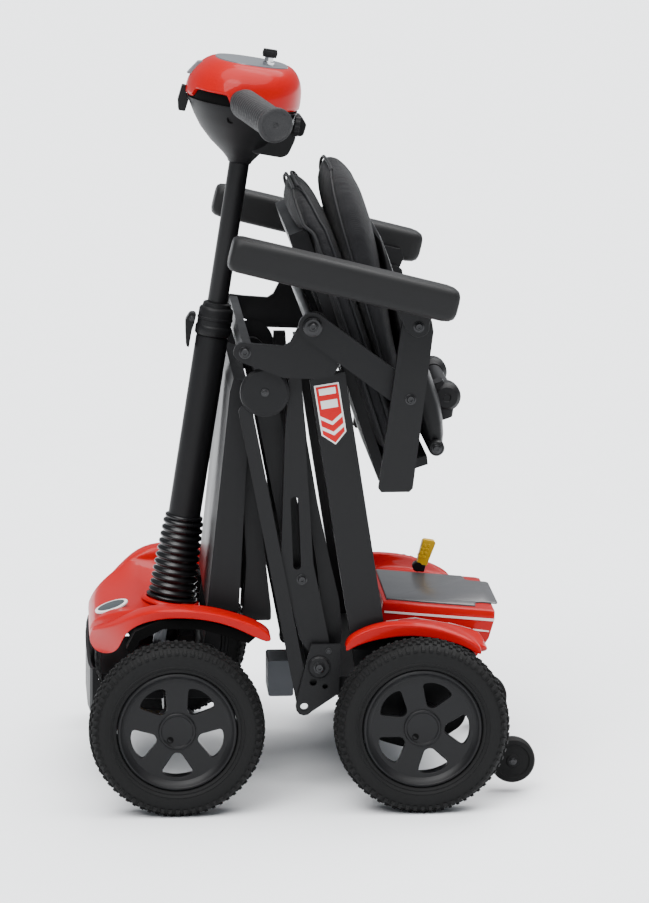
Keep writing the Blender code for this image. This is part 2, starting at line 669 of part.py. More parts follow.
def arms():
    for side in (-1, 1):
        tag = side_name(side)
        y0, y1 = span(side, 215.0, 225.0)
        post = [(234, 366), (266, 366), (270, 370), (293, 550), (291, 562), (284, 567),
                (266, 567), (258, 560), (256, 550), (231, 370)]
        plate("arm_post_" + tag, post, y0, y1, SATIN,
              pivot=(ARM_PIVOT[0], side * 220, ARM_PIVOT[1]))
        y0, y1 = span(side, 235.0, 285.0)
        pad = rounded_box((189.2, 615.3), 262.0, 39.0, 9.0, math.radians(-13.9))
        body = plate("arm_pad_" + tag, pad, y0, y1, BLACK,
                     pivot=(PAD_PIVOT[0], side * 230, PAD_PIVOT[1]))
        y0, y1 = span(side, 226.0, 236.0)
        tab = [(243, 582), (262, 552)] + circle(PAD_PIVOT, 12.0, 16, math.radians(225))[0:7]
        tab += [(294, 575), (290, 590), (240, 600)]
        fuse(body, [plate("tab", tab, y0, y1, SATIN)])


# Road wheels

def road_wheel(name, station, side, first_window):
    """Moulded rim with five windows, and its tyre."""
    centre = (station, AXLE_Z)
    windows = []
    for i in range(5):
        mid = math.radians(first_window + 72.0 * i)
        windows.append([
            (centre[0] + r * math.cos(mid + t), centre[1] + r * math.sin(mid + t))
            for r, t in ((27, -0.20), (52, -0.36), (54, 0.0), (52, 0.36), (27, 0.20))
        ])
    pivot = (station, side * (TYRE_IN + TYRE_OUT) / 2, AXLE_Z)
    y0, y1 = span(side, TYRE_IN + 5, TYRE_OUT - 7)
    plate(name + "_rim", circle(centre, RIM_R, 40), y0, y1, SATIN, windows, pivot)
    half = (TYRE_OUT - TYRE_IN) / 2
    profile = [(RIM_R + 0.4, -19), (72, -23), (82, -half), (92, -24), (98, -18), (WHEEL_R, -8),
               (WHEEL_R, 8), (98, 18), (92, 24), (82, half), (72, 23), (RIM_R + 0.4, 19)]
    turned(name + "_tyre", pivot, (0, 1, 0), profile, RUBBER, 40, pivot=pivot, ring=True,
           rough=0.85)


def road_wheels():
    for side in (-1, 1):
        tag = side_name(side)
        road_wheel("front_" + tag, 0.0, side, 54.0)
        road_wheel("rear_" + tag, REAR_AXLE, side, 69.0)


clear_scene()
PARTS = bpy.data.collections.new("mobility_scooter")
bpy.context.scene.collection.children.link(PARTS)
rear_chassis()
side_frames()
shafts()
rear_cover()
battery()
freewheel_lever()
anti_tip()
folding_links()
foot_deck()
front_frame()
front_cover()
steering()
tiller()
control_head()
seat_group()
arms()
road_wheels()
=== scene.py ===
"""Looks of the folded mobility scooter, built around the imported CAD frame."""
import json
import math

import bmesh
import bpy
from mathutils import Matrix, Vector


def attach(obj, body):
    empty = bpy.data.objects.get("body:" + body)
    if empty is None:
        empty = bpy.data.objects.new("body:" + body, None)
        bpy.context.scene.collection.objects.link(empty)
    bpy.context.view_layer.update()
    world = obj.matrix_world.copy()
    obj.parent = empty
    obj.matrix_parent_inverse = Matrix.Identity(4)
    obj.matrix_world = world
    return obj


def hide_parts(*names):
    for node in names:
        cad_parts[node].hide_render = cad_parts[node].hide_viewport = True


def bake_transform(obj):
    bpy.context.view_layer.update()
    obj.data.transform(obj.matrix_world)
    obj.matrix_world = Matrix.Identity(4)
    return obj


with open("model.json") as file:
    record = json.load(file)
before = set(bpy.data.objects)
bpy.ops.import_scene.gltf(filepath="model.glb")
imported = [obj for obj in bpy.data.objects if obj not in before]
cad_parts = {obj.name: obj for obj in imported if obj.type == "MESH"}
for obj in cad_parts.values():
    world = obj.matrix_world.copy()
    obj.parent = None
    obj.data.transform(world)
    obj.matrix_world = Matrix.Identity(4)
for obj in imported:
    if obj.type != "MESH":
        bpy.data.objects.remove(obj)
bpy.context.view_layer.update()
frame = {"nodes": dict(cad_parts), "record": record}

JOINTS = {joint["name"]: joint for joint in frame["record"]["behaviour"]["joints"]}


def joint_at(name):
    """Place of a joint, from the record."""
    return Vector(JOINTS[name]["pos_m"])


# Driving sizes in millimetres, in stations that run rearward from the front axle
AXLE = joint_at("front_roll_l")
MM = 0.001
RIM_R = 68.0
TREAD_BLOCKS = 66
SEAT_TIP = (123.0, 714.0)
SEAT_LEAN = math.radians(18.0)
HEAD_FOOT = (83.2, 719.0)
TUBE_TOP = 515.0
WHEEL_MID = 247.5
LEAN = math.atan2(JOINTS["steer"]["axis"][0], JOINTS["steer"]["axis"][2])
UP = (math.sin(LEAN), 0, math.cos(LEAN))
TILLER_BASE = joint_at("steer")

# Camera and framing
CAMERA_PLACE = Vector((-0.288, -5.237, 1.287))
CAMERA_AZIMUTH = math.radians(-3.42)
CAMERA_ELEVATION = math.radians(9.866)
CAMERA_LENS = 179.4

# Broad soft lights: name, tilt from overhead, turn, spread, strength
SUNS = (("overhead", 8.0, 20.0, 70.0, 6.5), ("front_left", 42.0, -28.0, 34.0, 3.2),
        ("back_right", 38.0, 150.0, 40.0, 2.2))


def at(s, y, z):
    """Row-frame point from a station, a side and a height in millimetres."""
    return Vector((AXLE.x + s * MM, y * MM, z * MM))


def seat_at(p, y, q):
    """Point p down the seat, y across it and q out of the pan's underside."""
    s = SEAT_TIP[0] + p * math.sin(SEAT_LEAN) + q * math.cos(SEAT_LEAN)
    z = SEAT_TIP[1] - p * math.cos(SEAT_LEAN) + q * math.sin(SEAT_LEAN)
    return at(s, y, z)


def head_at(a, y, b):
    """Point a up the tiller axis from the head's foot, y across and b to the rear."""
    s = HEAD_FOOT[0] + a * math.sin(LEAN) + b * math.cos(LEAN)
    z = HEAD_FOOT[1] + a * math.cos(LEAN) - b * math.sin(LEAN)
    return at(s, y, z)


def tiller_at(a, y=0.0, b=0.0):
    """Point a up the tiller axis from its tilt pivot."""
    along = Vector((math.sin(LEAN), 0.0, math.cos(LEAN)))
    back = Vector((math.cos(LEAN), 0.0, -math.sin(LEAN)))
    return TILLER_BASE + along * (a * MM) + back * (b * MM) + Vector((0.0, y * MM, 0.0))


def traced(place, outline):
    """Stations and heights of an outline drawn on the tiller, the head or the seat."""
    points = [place(a, 0.0, b) for a, b in outline]
    return [((point.x - AXLE.x) / MM, point.z / MM) for point in points]


# Materials

def finish(name, colour, rough, metallic=0.0, coat=0.0, coat_rough=0.08, specular=0.5,
           grain=900.0, bump=0.15, depth=0.0002, shade=0.12, rough_shade=0.08,
           stretch=(1.0, 1.0, 1.0), sheen=0.0, pattern="noise"):
    """Procedural surface: fine grain in the bump, broad mottling in colour and roughness."""
    mat = bpy.data.materials.new(name)
    mat.use_nodes = True
    nodes = mat.node_tree.nodes
    link = mat.node_tree.links.new

    def add(kind, **values):
        return fill_in(nodes.new("ShaderNode" + kind), values)

    shader = fill_in(nodes["Principled BSDF"], {
        "Metallic": metallic, "Coat_Weight": coat, "Coat_Roughness": coat_rough,
        "Specular_IOR_Level": specular, "Sheen_Weight": sheen})
    place = add("TexCoord")
    scale = add("Mapping", Scale=stretch)
    link(place.outputs["Object"], scale.inputs["Vector"])
    broad = add("TexNoise", Scale=14.0, Detail=5.0)
    link(place.outputs["Object"], broad.inputs["Vector"])
    if pattern == "weave":
        fine, height = weave(add, link, grain)
    elif pattern == "cells":
        fine = [add("TexVoronoi", Scale=grain)]
        height = fine[0].outputs["Distance"]
    else:
        fine = [add("TexNoise", Scale=grain, Detail=3.0)]
        height = fine[0].outputs["Fac"]
    for texture in fine:
        link(scale.outputs["Vector"], texture.inputs["Vector"])
    tint = add("MapRange", To_Min=1.0 - shade, To_Max=1.0 + shade)
    link(broad.outputs["Fac"], tint.inputs["Value"])
    paint = add("VectorMath")
    paint.operation = "SCALE"
    paint.inputs[0].default_value = colour
    link(tint.outputs["Result"], paint.inputs["Scale"])
    link(paint.outputs["Vector"], shader.inputs["Base Color"])
    gloss = add("MapRange", To_Min=max(0.02, rough - rough_shade), To_Max=min(1.0, rough + rough_shade))
    link(broad.outputs["Fac"], gloss.inputs["Value"])
    link(gloss.outputs["Result"], shader.inputs["Roughness"])
    relief = add("Bump", Strength=bump, Distance=depth)
    link(height, relief.inputs["Height"])
    link(relief.outputs["Normal"], shader.inputs["Normal"])
    mat.diffuse_color = (*colour, 1.0)
    return mat


def fill_in(node, values):
    """Sets a node's inputs, whose names have spaces where the keys have underscores."""
    for key, value in values.items():
        node.inputs[key.replace("_", " ")].default_value = value
    return node


def weave(add, link, grain):
    """Two crossed sets of threads."""
    cross = add("Math")
    cross.operation = "MAXIMUM"
    waves = []
    for i, direction in enumerate(("Y", "Z")):
        wave = add("TexWave", Scale=grain, Distortion=1.5, Detail=2.0)
        wave.bands_direction = direction
        link(wave.outputs["Fac"], cross.inputs[i])
        waves.append(wave)
    return waves, cross.outputs["Value"]


COAT = finish("powder_coat", (0.006, 0.006, 0.0065), 0.42, specular=0.14, grain=1400, bump=0.22)
PLASTIC = finish("moulded_plastic", (0.005, 0.005, 0.0055), 0.46, specular=0.14, grain=2200,
                 bump=0.25)
BOWL = finish("head_plastic", (0.006, 0.006, 0.0065), 0.5, specular=0.1, grain=2600, bump=0.12)
RED = finish("gloss_red", (0.31, 0.0002, 0.0009), 0.4, coat=0.14, coat_rough=0.06, grain=30,
             bump=0.02, shade=0.03, rough_shade=0.03, specular=0.06)
TYRE = finish("tyre_rubber", (0.0055, 0.0055, 0.0056), 0.7, specular=0.12, grain=700, bump=0.5,
              depth=0.0004, shade=0.25)
RIM = finish("rim_plastic", (0.005, 0.005, 0.0055), 0.42, specular=0.16, grain=1500, bump=0.2)
BELLOWS = finish("bellows_rubber", (0.004, 0.004, 0.0045), 0.27, specular=0.25, grain=800,
                 bump=0.1)
GRIP = finish("grip_rubber", (0.017, 0.017, 0.018), 0.55, specular=0.2, grain=420, bump=0.8,
              depth=0.0006, pattern="cells")
PAD = finish("pad_foam", (0.0062, 0.0062, 0.0065), 0.55, specular=0.16, grain=1700, bump=0.45,
             depth=0.0003)
FABRIC = finish("woven_cover", (0.0065, 0.0065, 0.0075), 0.78, specular=0.12, grain=260, bump=0.6,
                depth=0.0005, sheen=0.04, pattern="weave")
PIPING = finish("piping", (0.008, 0.008, 0.009), 0.6, specular=0.15, grain=1500, bump=0.3)
STEEL = finish("zinc_steel", (0.16, 0.165, 0.175), 0.32, metallic=1.0, grain=600, bump=0.1,
               stretch=(1.0, 8.0, 1.0), shade=0.2)
CHROME = finish("chrome", (0.45, 0.45, 0.46), 0.08, metallic=1.0, grain=200, bump=0.02)
DARK_STEEL = finish("black_bolt", (0.022, 0.022, 0.023), 0.3, metallic=0.8, grain=900, bump=0.15)
LID = finish("brushed_lid", (0.045, 0.045, 0.048), 0.34, specular=0.3, coat=0.2, coat_rough=0.25,
             grain=420, bump=0.25, stretch=(0.04, 1.0, 1.0), shade=0.08)
GREY = finish("grey_trim", (0.13, 0.135, 0.145), 0.45, specular=0.3, grain=1200, bump=0.15)
CASTING = finish("cast_box", (0.07, 0.074, 0.082), 0.42, metallic=0.6, specular=0.2, grain=300,
                 bump=0.35, depth=0.0004, shade=0.3)
YELLOW = finish("yellow_plastic", (0.60, 0.35, 0.004), 0.45, specular=0.2, grain=900, bump=0.2,
                shade=0.1)
WHITE = finish("white_print", (0.55, 0.55, 0.545), 0.4, specular=0.3, grain=800, bump=0.05)
RED_PRINT = finish("red_print", (0.36, 0.001, 0.003), 0.35, specular=0.15, grain=800, bump=0.05,
                   shade=0.04)
BADGE = finish("badge_grey", (0.055, 0.065, 0.07), 0.3, metallic=0.4, specular=0.3, grain=400,
               bump=0.15)
PANEL = finish("panel_grey", (0.10, 0.108, 0.12), 0.3, coat=0.2, specular=0.3, grain=900, bump=0.1)
# Painted shade: a near-black finish laid in recesses, holes and under the wings to darken them where shade
# falls
SHADOW = finish("painted_shade_dark", (0.002, 0.002, 0.002), 0.8, specular=0.05, grain=500, bump=0.1)


# Material slot that each finish belongs to
SLOTS = {
    "satin_paint": (COAT,), "black_plastic": (PLASTIC, BOWL, RIM, SHADOW),
    "red_plastic": (RED, RED_PRINT),
    "tyre_black": (TYRE,), "rubber_black": (BELLOWS, GRIP, PAD), "fabric_black": (FABRIC, PIPING),
    "steel": (CHROME, DARK_STEEL), "lid_grey": (LID,), "yellow_plastic": (YELLOW,),
    "grey_trim": (GREY, WHITE, BADGE, PANEL),
}
SLOT_OF = {mat.name: slot for slot, mats in SLOTS.items() for mat in mats}


# Mesh tools

def piece(name, verts, faces, mat, body=None, hides=(), angle=40.0, bevel=0.0, levels=0,
          segments=2, slot=None):
    """A finished mesh in the row frame that rides on a CAD body."""
    mesh = bpy.data.meshes.new(name)
    mesh.from_pydata([tuple(v) for v in verts], [], faces)
    work = bmesh.new()
    work.from_mesh(mesh)
    bmesh.ops.recalc_face_normals(work, faces=work.faces[:])
    work.to_mesh(mesh)
    work.free()
    for poly in mesh.polygons:
        poly.use_smooth = True
    mesh.set_sharp_from_angle(angle=math.radians(angle))
    mesh.materials.append(mat)
    obj = bpy.data.objects.new(name, mesh)
    bpy.context.scene.collection.objects.link(obj)
    if bevel:
        edge = obj.modifiers.new("edge", "BEVEL")
        edge.width = bevel * MM
        edge.segments = segments
        edge.limit_method = "ANGLE"
        edge.angle_limit = math.radians(35.0)
        edge.harden_normals = True
    if levels:
        soft = obj.modifiers.new("soft", "SUBSURF")
        soft.levels = levels
        soft.render_levels = levels
    if hides:
        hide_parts(*hides)
    slot or SLOT_OF[mat.name]
    if body:
        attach(obj, body)
    return obj


def loft_mesh(rings, closed=False):
    """Quads between rings, with the ends capped or the loop closed."""
    count = len(rings[0])
    verts = [point for ring in rings for point in ring]
    faces = []
    rows = len(rings)
    for row in range(rows if closed else rows - 1):
        here = row * count
        there = ((row + 1) % rows) * count
        for i in range(count):
            j = (i + 1) % count
            faces.append((here + i, here + j, there + j, there + i))
    if not closed:
        faces.append(tuple(range(count)))
        faces.append(tuple(len(verts) - 1 - i for i in range(count)))
    return verts, faces


def strip_mesh(rings):
    """Loft of thin sections, whose first and last are closed across their thickness."""
    verts, faces = loft_mesh(rings)
    count = len(rings[0])
    half = count // 2
    last = len(verts) - count
    faces = faces[:-2]
    for i in range(half - 1):
        j = count - 1 - i
        faces.append((i, i + 1, j - 1, j))
        faces.append((last + j, last + j - 1, last + i + 1, last + i))
    return verts, faces


def axes_of(axis):
    """Unit axis and two directions square to it."""
    along = Vector(axis).normalized()
    side = Vector((0.0, 0.0, 1.0)) if abs(along.z) < 0.9 else Vector((1.0, 0.0, 0.0))
    first = along.cross(side).normalized()
    return along, first, along.cross(first)


def oval(centre, first, second, radius, count, other=None):
    """Ring of points about a centre, with its radius and its other radius in millimetres."""
    other = radius if other is None else other
    turns = [2.0 * math.pi * i / count for i in range(count)]
    return [centre + first * (radius * MM * math.cos(turn)) + second * (other * MM * math.sin(turn))
            for turn in turns]


def turned_mesh(foot, axis, profile, count=48, closed=False):
    """Profile of (radius, distance) in millimetres turned about an axis."""
    along, first, second = axes_of(axis)
    rings = [oval(foot + along * (distance * MM), first, second, max(radius, 0.02), count)
             for radius, distance in profile]
    return loft_mesh(rings, closed)


def join_meshes(parts):
    """Several meshes as one."""
    verts = []
    faces = []
    for part_verts, part_faces in parts:
        base = len(verts)
        verts.extend(part_verts)
        faces.extend(tuple(i + base for i in face) for face in part_faces)
    return verts, faces


def circle(centre, radius, count=24, start=0.0, sweep=2.0 * math.pi):
    full = abs(sweep - 2.0 * math.pi) < 1e-6
    steps = count if full else count - 1
    return [(centre[0] + radius * math.cos(start + sweep * i / steps),
             centre[1] + radius * math.sin(start + sweep * i / steps)) for i in range(count)]


def plate_mesh(outline, y0, y1, holes=()):
    """Side outline with holes, from y0 to y1."""
    work = bmesh.new()
    points = []
    loops = []
    edges = []
    for loop in (outline, *holes):
        verts = [work.verts.new((s, 0.0, z)) for s, z in loop]
        loops.append(range(len(points), len(points) + len(loop)))
        points.extend(loop)
        edges.extend(work.edges.new((verts[i - 1], verts[i])) for i in range(len(verts)))
    work.verts.index_update()
    bmesh.ops.triangle_fill(work, use_beauty=True, use_dissolve=True, edges=edges)
    caps = [[v.index for v in face.verts] for face in work.faces]
    work.free()
    count = len(points)
    verts = [at(s, y, z) for y in (y0, y1) for s, z in points]
    faces = caps + [[i + count for i in reversed(cap)] for cap in caps]
    for loop in loops:
        ids = list(loop)
        for i, here in enumerate(ids):
            before = ids[i - 1]
            faces.append([before, here, here + count, before + count])
    return verts, faces


def rounded(outline, radius, steps=4):
    """The same outline with its corners cut round."""
    result = []
    count = len(outline)
    for i, corner in enumerate(outline):
        here = Vector(corner)
        before = Vector(outline[i - 1])
        after = Vector(outline[(i + 1) % count])
        reach = min(radius, (before - here).length * 0.45, (after - here).length * 0.45)
        start = here + (before - here).normalized() * reach
        end = here + (after - here).normalized() * reach
        for step in range(steps + 1):
            t = step / steps
            point = start * (1 - t) ** 2 + here * 2 * t * (1 - t) + end * t ** 2
            result.append((point.x, point.y))
    return result


def tube_mesh(points, radius, count=12, closed=False):
    """Round tube along points."""
    rings = []
    total = len(points)
    for i, point in enumerate(points):
        if closed:
            ahead = points[(i + 1) % total] - points[i - 1]
        else:
            ahead = points[min(i + 1, total - 1)] - points[max(i - 1, 0)]
        along = ahead.normalized()
        first = Vector((0.0, 1.0, 0.0)).cross(along)
        if first.length < 0.3:
            first = Vector((1.0, 0.0, 0.0)).cross(along)
        first.normalize()
        second = along.cross(first)
        rings.append(oval(point, first, second, radius, count))
    return loft_mesh(rings, closed)


def squircle(half_a, half_b, count, power):
    """Ring between an ellipse and a rectangle."""
    ring = []
    for i in range(count):
        turn = 2.0 * math.pi * i / count
        c = math.cos(turn)
        n = math.sin(turn)
        ring.append((half_a * math.copysign(abs(c) ** (2.0 / power), c),
                     half_b * math.copysign(abs(n) ** (2.0 / power), n)))
    return ring


def ease(t):
    """Smooth step from 0 to 1."""
    t = min(max(t, 0.0), 1.0)
    return t * t * (3.0 - 2.0 * t)


def bolt(name, centre, axis, radius, body, tall=3.0):
    """Socket screw head on a washer."""
    washer = turned_mesh(centre, axis, [(0, 0), (radius * 1.35, 0), (radius * 1.35, 0.9),
                                        (radius * 1.28, 1.1), (0, 1.1)], 32)
    socket = radius * 0.48
    head = turned_mesh(centre, axis, [(radius, 1.0), (radius, 1.0 + tall * 0.6),
                                      (radius * 0.82, 1.0 + tall), (socket, 1.0 + tall),
                                      (socket, 1.6), (0.1, 1.6)], 6 * 5)
    piece(name, *join_meshes([washer, head]), DARK_STEEL, body)


# Wheels

def tyre(name, centre, body, node):
    """Carcass with shoulder and crown blocks and moulded sidewall rings."""
    axis = (0, 1, 0)
    carcass = [(RIM_R + 0.4, -19), (69.5, -21.0), (72, -22.2), (73.0, -21.6), (76, -23.6),
               (77.2, -23.0), (82, -24.4), (86, -24.0), (90, -23.0), (94, -20.5), (96.6, -16),
               (97.6, -9), (98.0, 0)]
    carcass += [(r, -d) for r, d in reversed(carcass[:-1])]
    parts = [turned_mesh(centre, axis, carcass, 96, closed=True)]
    rows = [(-21.4, 8.6, 93.6, 4.6, 0.5), (-12.9, 5.8, 98.2, 4.6, 0.0), (-4.4, 5.6, 99.0, 4.8, 0.5),
            (4.4, 5.6, 99.0, 4.8, 0.0), (12.9, 5.8, 98.2, 4.6, 0.5), (21.4, 8.6, 93.6, 4.6, 0.0)]
    for across, width, base, length, phase in rows:
        tilt = math.atan2(across, 26.0) * 0.95 if abs(across) > 8 else across * 0.012
        for i in range(TREAD_BLOCKS):
            turn = 2.0 * math.pi * (i + phase) / TREAD_BLOCKS
            parts.append(tread_block(centre, turn, across, width, base, length, tilt))
    piece(name, *join_meshes(parts), TYRE, body, [node], angle=35)


def tread_block(foot, turn, across, width, base, length, tilt):
    """Tapered block of rubber that stands on the carcass, tilted toward the shoulder."""
    out = Vector((math.cos(turn), 0.0, math.sin(turn)))
    run = Vector((-math.sin(turn), 0.0, math.cos(turn)))
    side = Vector((0.0, 1.0, 0.0))
    up = out * math.cos(tilt) + side * math.sin(tilt)
    wide = side * math.cos(tilt) - out * math.sin(tilt)
    centre = foot + out * (base * MM) + side * (across * MM)
    crown = 1.3 if abs(across) < 16 else 1.2
    corners = ((-1, -1), (1, -1), (1, 1), (-1, 1))
    return loft_mesh([[centre + up * (height * MM) + wide * (a * width * 0.5 * shrink * MM)
                       + run * (b * length * 0.5 * shrink * MM) for a, b in corners]
                      for height, shrink in ((-1.5, 1.0), (crown, 0.78))])


def rim(name, centre, side, first_window, body, node):
    """Moulded rim: outer bead, dished disc with five windows, hub ring and cap."""
    axle = ((centre.x - AXLE.x) / MM, AXLE.z / MM)
    mid = side * WHEEL_MID
    face = (0, side, 0)
    windows = []
    for i in range(5):
        turn = math.radians(first_window + 72.0 * i)
        corners = [(axle[0] + r * math.cos(turn + t), axle[1] + r * math.sin(turn + t))
                   for r, t in ((25.5, -0.16), (51, -0.37), (53.5, -0.18), (54, 0.0),
                                (53.5, 0.18), (51, 0.37), (25.5, 0.16))]
        windows.append(rounded(corners, 4.0, 3))
    disc = plate_mesh(circle(axle, 61.0, 96), mid + side * 8.0, mid + side * 15.5, windows)
    bead = turned_mesh(centre, face, [(57.5, -19.5), (RIM_R, -20.5), (RIM_R, 20.0), (66.3, 21.8),
                                    (64.6, 21.4), (62.2, 18.2), (59.5, 16.4), (57.5, 15.2),
                                    (57.2, 8.0), (58.5, 4.0)], 96, closed=True)
    hub = turned_mesh(centre, face, [(0, 6), (21.5, 6), (21.5, 16.4), (20.2, 17.8), (18.4, 17.8),
                                   (17.4, 16.6), (12, 16.2), (0, 16.0)], 64)
    drum = turned_mesh(centre, face, [(0, -19), (24, -19), (24, 4), (22, 7), (0, 7)], 48)
    piece(name, *join_meshes([disc, bead, hub, drum]), RIM, body, [node], bevel=0.9)
    # Painted shade: a near-black dimple on the hub face darkens the hole
    spot = centre + Vector((-8.0 * MM, side * 16.2 * MM, -10.0 * MM))
    recess = turned_mesh(spot, face, [(0, -0.4), (3.8, -0.4), (3.8, 0.5), (3.0, 0.5), (2.6, 0.1),
                                      (0, 0.1)], 24)
    piece(name + "_socket_shade", *recess, SHADOW, body)


def wheels():
    for side, tag in ((-1, "l"), (1, "r")):
        for end, first in (("front", 54.0), ("rear", 69.0)):
            centre = joint_at(f"{end}_roll_{tag}")
            body = f"{end}_wheel_{tag}"
            tyre(f"tread_{end}_{tag}", centre, body, f"{end}_{tag}_tyre")
            rim(f"rim_{end}_{tag}", centre, side, first, body, f"{end}_{tag}_rim")
        centre = joint_at(f"antitip_roll_{tag}")
        roller = [(0, -2), (6, -2), (7, 0.5), (18, 1.5), (20, 0.6), (24.5, 0.8), (26.3, 3),
                  (26.5, 9), (26.3, 16), (24.5, 19.0), (20, 19.4), (18.5, 18.0), (8, 18.4),
                  (6.5, 20), (0, 20)]
        piece(f"roller_{tag}", *turned_mesh(centre, (0, side, 0), roller, 56), TYRE,
              f"antitip_wheel_{tag}", [f"antitip_wheel_{tag}"], slot="rubber_black")
        bolt(f"roller_bolt_{tag}", centre + Vector((0, side * 19.0 * MM, 0)), (0, side, 0), 3.6,
             f"antitip_wheel_{tag}", tall=1.2)


# Tiller

def tiller():
    reach = (TUBE_TOP - TILLER_BASE.z / MM) / math.cos(LEAN)
    tube = [(12.6, 10), (19.2, 10), (19.2, reach - 3), (18.6, reach - 0.5), (12.6, reach - 0.5)]
    piece("tiller_tube", *turned_mesh(TILLER_BASE, UP, tube, 64, closed=True), COAT, "tiller",
          ["outer_tube"])
    foot = tiller_at(reach + 0.4)
    collar = [(12.6, 0), (20.4, 0), (21.4, 1.5), (21.6, 9), (20.9, 11), (20.3, 11.6), (20.3, 18),
              (21.0, 18.6), (21.0, 21), (20.3, 21.6), (20.3, 30), (19.2, 32.5), (17.2, 33.5),
              (16.4, 38), (14.6, 39.2), (12.6, 39.2)]
    piece("collar", *turned_mesh(foot, UP, collar, 64, closed=True), PLASTIC, "tiller",
          ["clamp_collar"])
    lever = [(24, -22.5), (24, -30), (14, -34.5), (2, -32.5), (-16, -29), (-18, -25.5), (4, -25),
             (11, -23.5)]
    lever = traced(tiller_at, [(reach + a, b) for a, b in lever])
    piece("quick_release", *plate_mesh(rounded(lever, 3.0), -8.5, 8.5), PLASTIC, "clamp_lever",
          ["clamp_lever"], bevel=1.2)
    bolt("quick_release_pin", tiller_at(reach + 17, -8.5, -27), (0, -1, 0), 2.6, "clamp_lever",
         tall=1.2)
    foot = head_at(0, 0, 0)
    inner = [(0, -250), (11.2, -250), (12, -248), (12, -0.4), (0, -0.4)]
    piece("height_tube", *turned_mesh(foot, UP, inner, 56), COAT, "head", ["inner_tube"])
    bellows()


def bellows():
    """Ribbed rubber boot round the foot of the tiller."""
    ribs = 11
    pitch = 8.5
    outer = [(27.0, 0.6), (30.0, 1.2), (30.4, 3.4), (28.6, 4.6)]
    for i in range(ribs):
        radius = 28.6 - 4.6 * i / (ribs - 1)
        low = 4.6 + pitch * i * 0.985
        outer += [(radius - 3.0, low + 1.0), (radius - 0.5, low + 2.6), (radius, low + 4.3),
                  (radius - 0.5, low + 6.0), (radius - 3.0, low + 7.6)]
    top = outer[-1][1]
    outer += [(21.6, top + 1.4), (22.4, top + 2.4), (22.4, top + 5.0), (21.0, top + 5.8),
              (19.5, top + 5.8)]
    inner = [(19.5, top + 1.0), (21.0, top - 30), (23.2, 10), (24.0, 0.6)]
    boot = piece("bellows", *turned_mesh(TILLER_BASE, UP, outer + inner, 72, closed=True), BELLOWS,
                 None, ["boot"], angle=80)
    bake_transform(boot)


# Control head

HEAD_BOWL = [(0, -13.5, 13.5, 13.5), (3, -15, 14.5, 16), (9, -21, 19, 24), (16, -30, 24, 33),
             (22, -38, 28, 42), (30, -46, 34, 53), (36, -52, 39, 60), (43, -57, 44, 69),
             (50, -62, 48, 76), (57, -66, 52, 82), (62, -69, 55, 86), (67, -72, 57, 89),
             (69.6, -73, 57.4, 90)]
HEAD_SHELL = [(70.6, -75, 58, 92), (73, -75.6, 59, 93.4), (80, -75.6, 59.4, 94),
              (88, -74.4, 59, 93), (96, -71.6, 58, 91), (103, -67.4, 56, 87.4),
              (109, -62.4, 53, 82), (113.5, -57.6, 49.6, 76), (116.5, -53, 46, 70.5),
              (118, -49.4, 43, 66.6), (118.4, -48, 41.6, 65)]


def window(b):
    """Raises the shell's lower edge over the front recess."""
    return 11.0 * ease((-27.0 - b) / 3.0) * ease((b + 70.0) / 4.0)


def head_ring(a, front, back, half, lift=0.0):
    """Rounded section of the head, whose front can be lifted by a share of the window."""
    middle = (front + back) / 2
    return [head_at(a + lift * window(middle + b), y, middle + b)
            for b, y in squircle((back - front) / 2, half, 120, 2.4)]


def head():
    rings = [head_ring(*row) for row in HEAD_BOWL]
    piece("bowl", *loft_mesh(rings), BOWL, "head", ["head_bowl"], angle=60)
    corner = [(16, 12), (24, 6), (54, 16), (55, 56), (40, 59), (20, 53), (15.5, 46)]
    piece("rear_box", *plate_mesh(rounded(traced(head_at, corner), 5.0), -34, 34), PLASTIC, "head",
          bevel=1.6)

    lifts = [1.0, 0.92, 0.5] + [0.0] * (len(HEAD_SHELL) - 3)
    rings = [head_ring(*row, lift=lift) for row, lift in zip(HEAD_SHELL, lifts)]
    piece("red_shell", *loft_mesh(rings), RED, "head", ["head_shell"], angle=50, levels=1)
    # Painted shade: a dark band inside the shell, seen through the raised front window
    inset = [head_ring(a, -71.5, 55, 88) for a in (68.0, 90.0)]
    piece("shell_recess_shade", *loft_mesh(inset), SHADOW, "head")
    panel = [head_ring(118.0, -46.5, 39, 61.5), head_ring(119.4, -46, 38.5, 61),
             head_ring(119.6, -44, 36.5, 59)]
    piece("instrument_panel", *loft_mesh(panel), PANEL, "head", ["display_panel"])
    barrel = [(0, -3), (8.8, -3), (8.8, -1.2), (7.6, -0.5), (0, -0.5)]
    piece("key_lock", *turned_mesh(joint_at("key_turn"), UP, barrel, 40), CHROME, "head")
    key()
    dial()
    hook()
    grips()
    lever = traced(head_at, [(42, 60), (56, 60.6), (60, 66), (52, 74), (38, 72), (36, 66)])
    piece("finger_lever", *plate_mesh(rounded(lever, 3), 38, 96), PLASTIC, "throttle_lever",
          ["throttle_lever"], bevel=1.5)
    # Charge port: the socket is black, and its hole is darkened further with painted shade
    spot = head_at(55.5, -77, -21)
    ring = turned_mesh(spot, (0.15, -0.93, -0.35), [(0, -3), (5.6, -3), (5.6, 1.0), (4.4, 1.6),
                                                  (3.2, 0.4), (0, 0.2)], 32)
    piece("charge_port", *ring, SHADOW, "head")


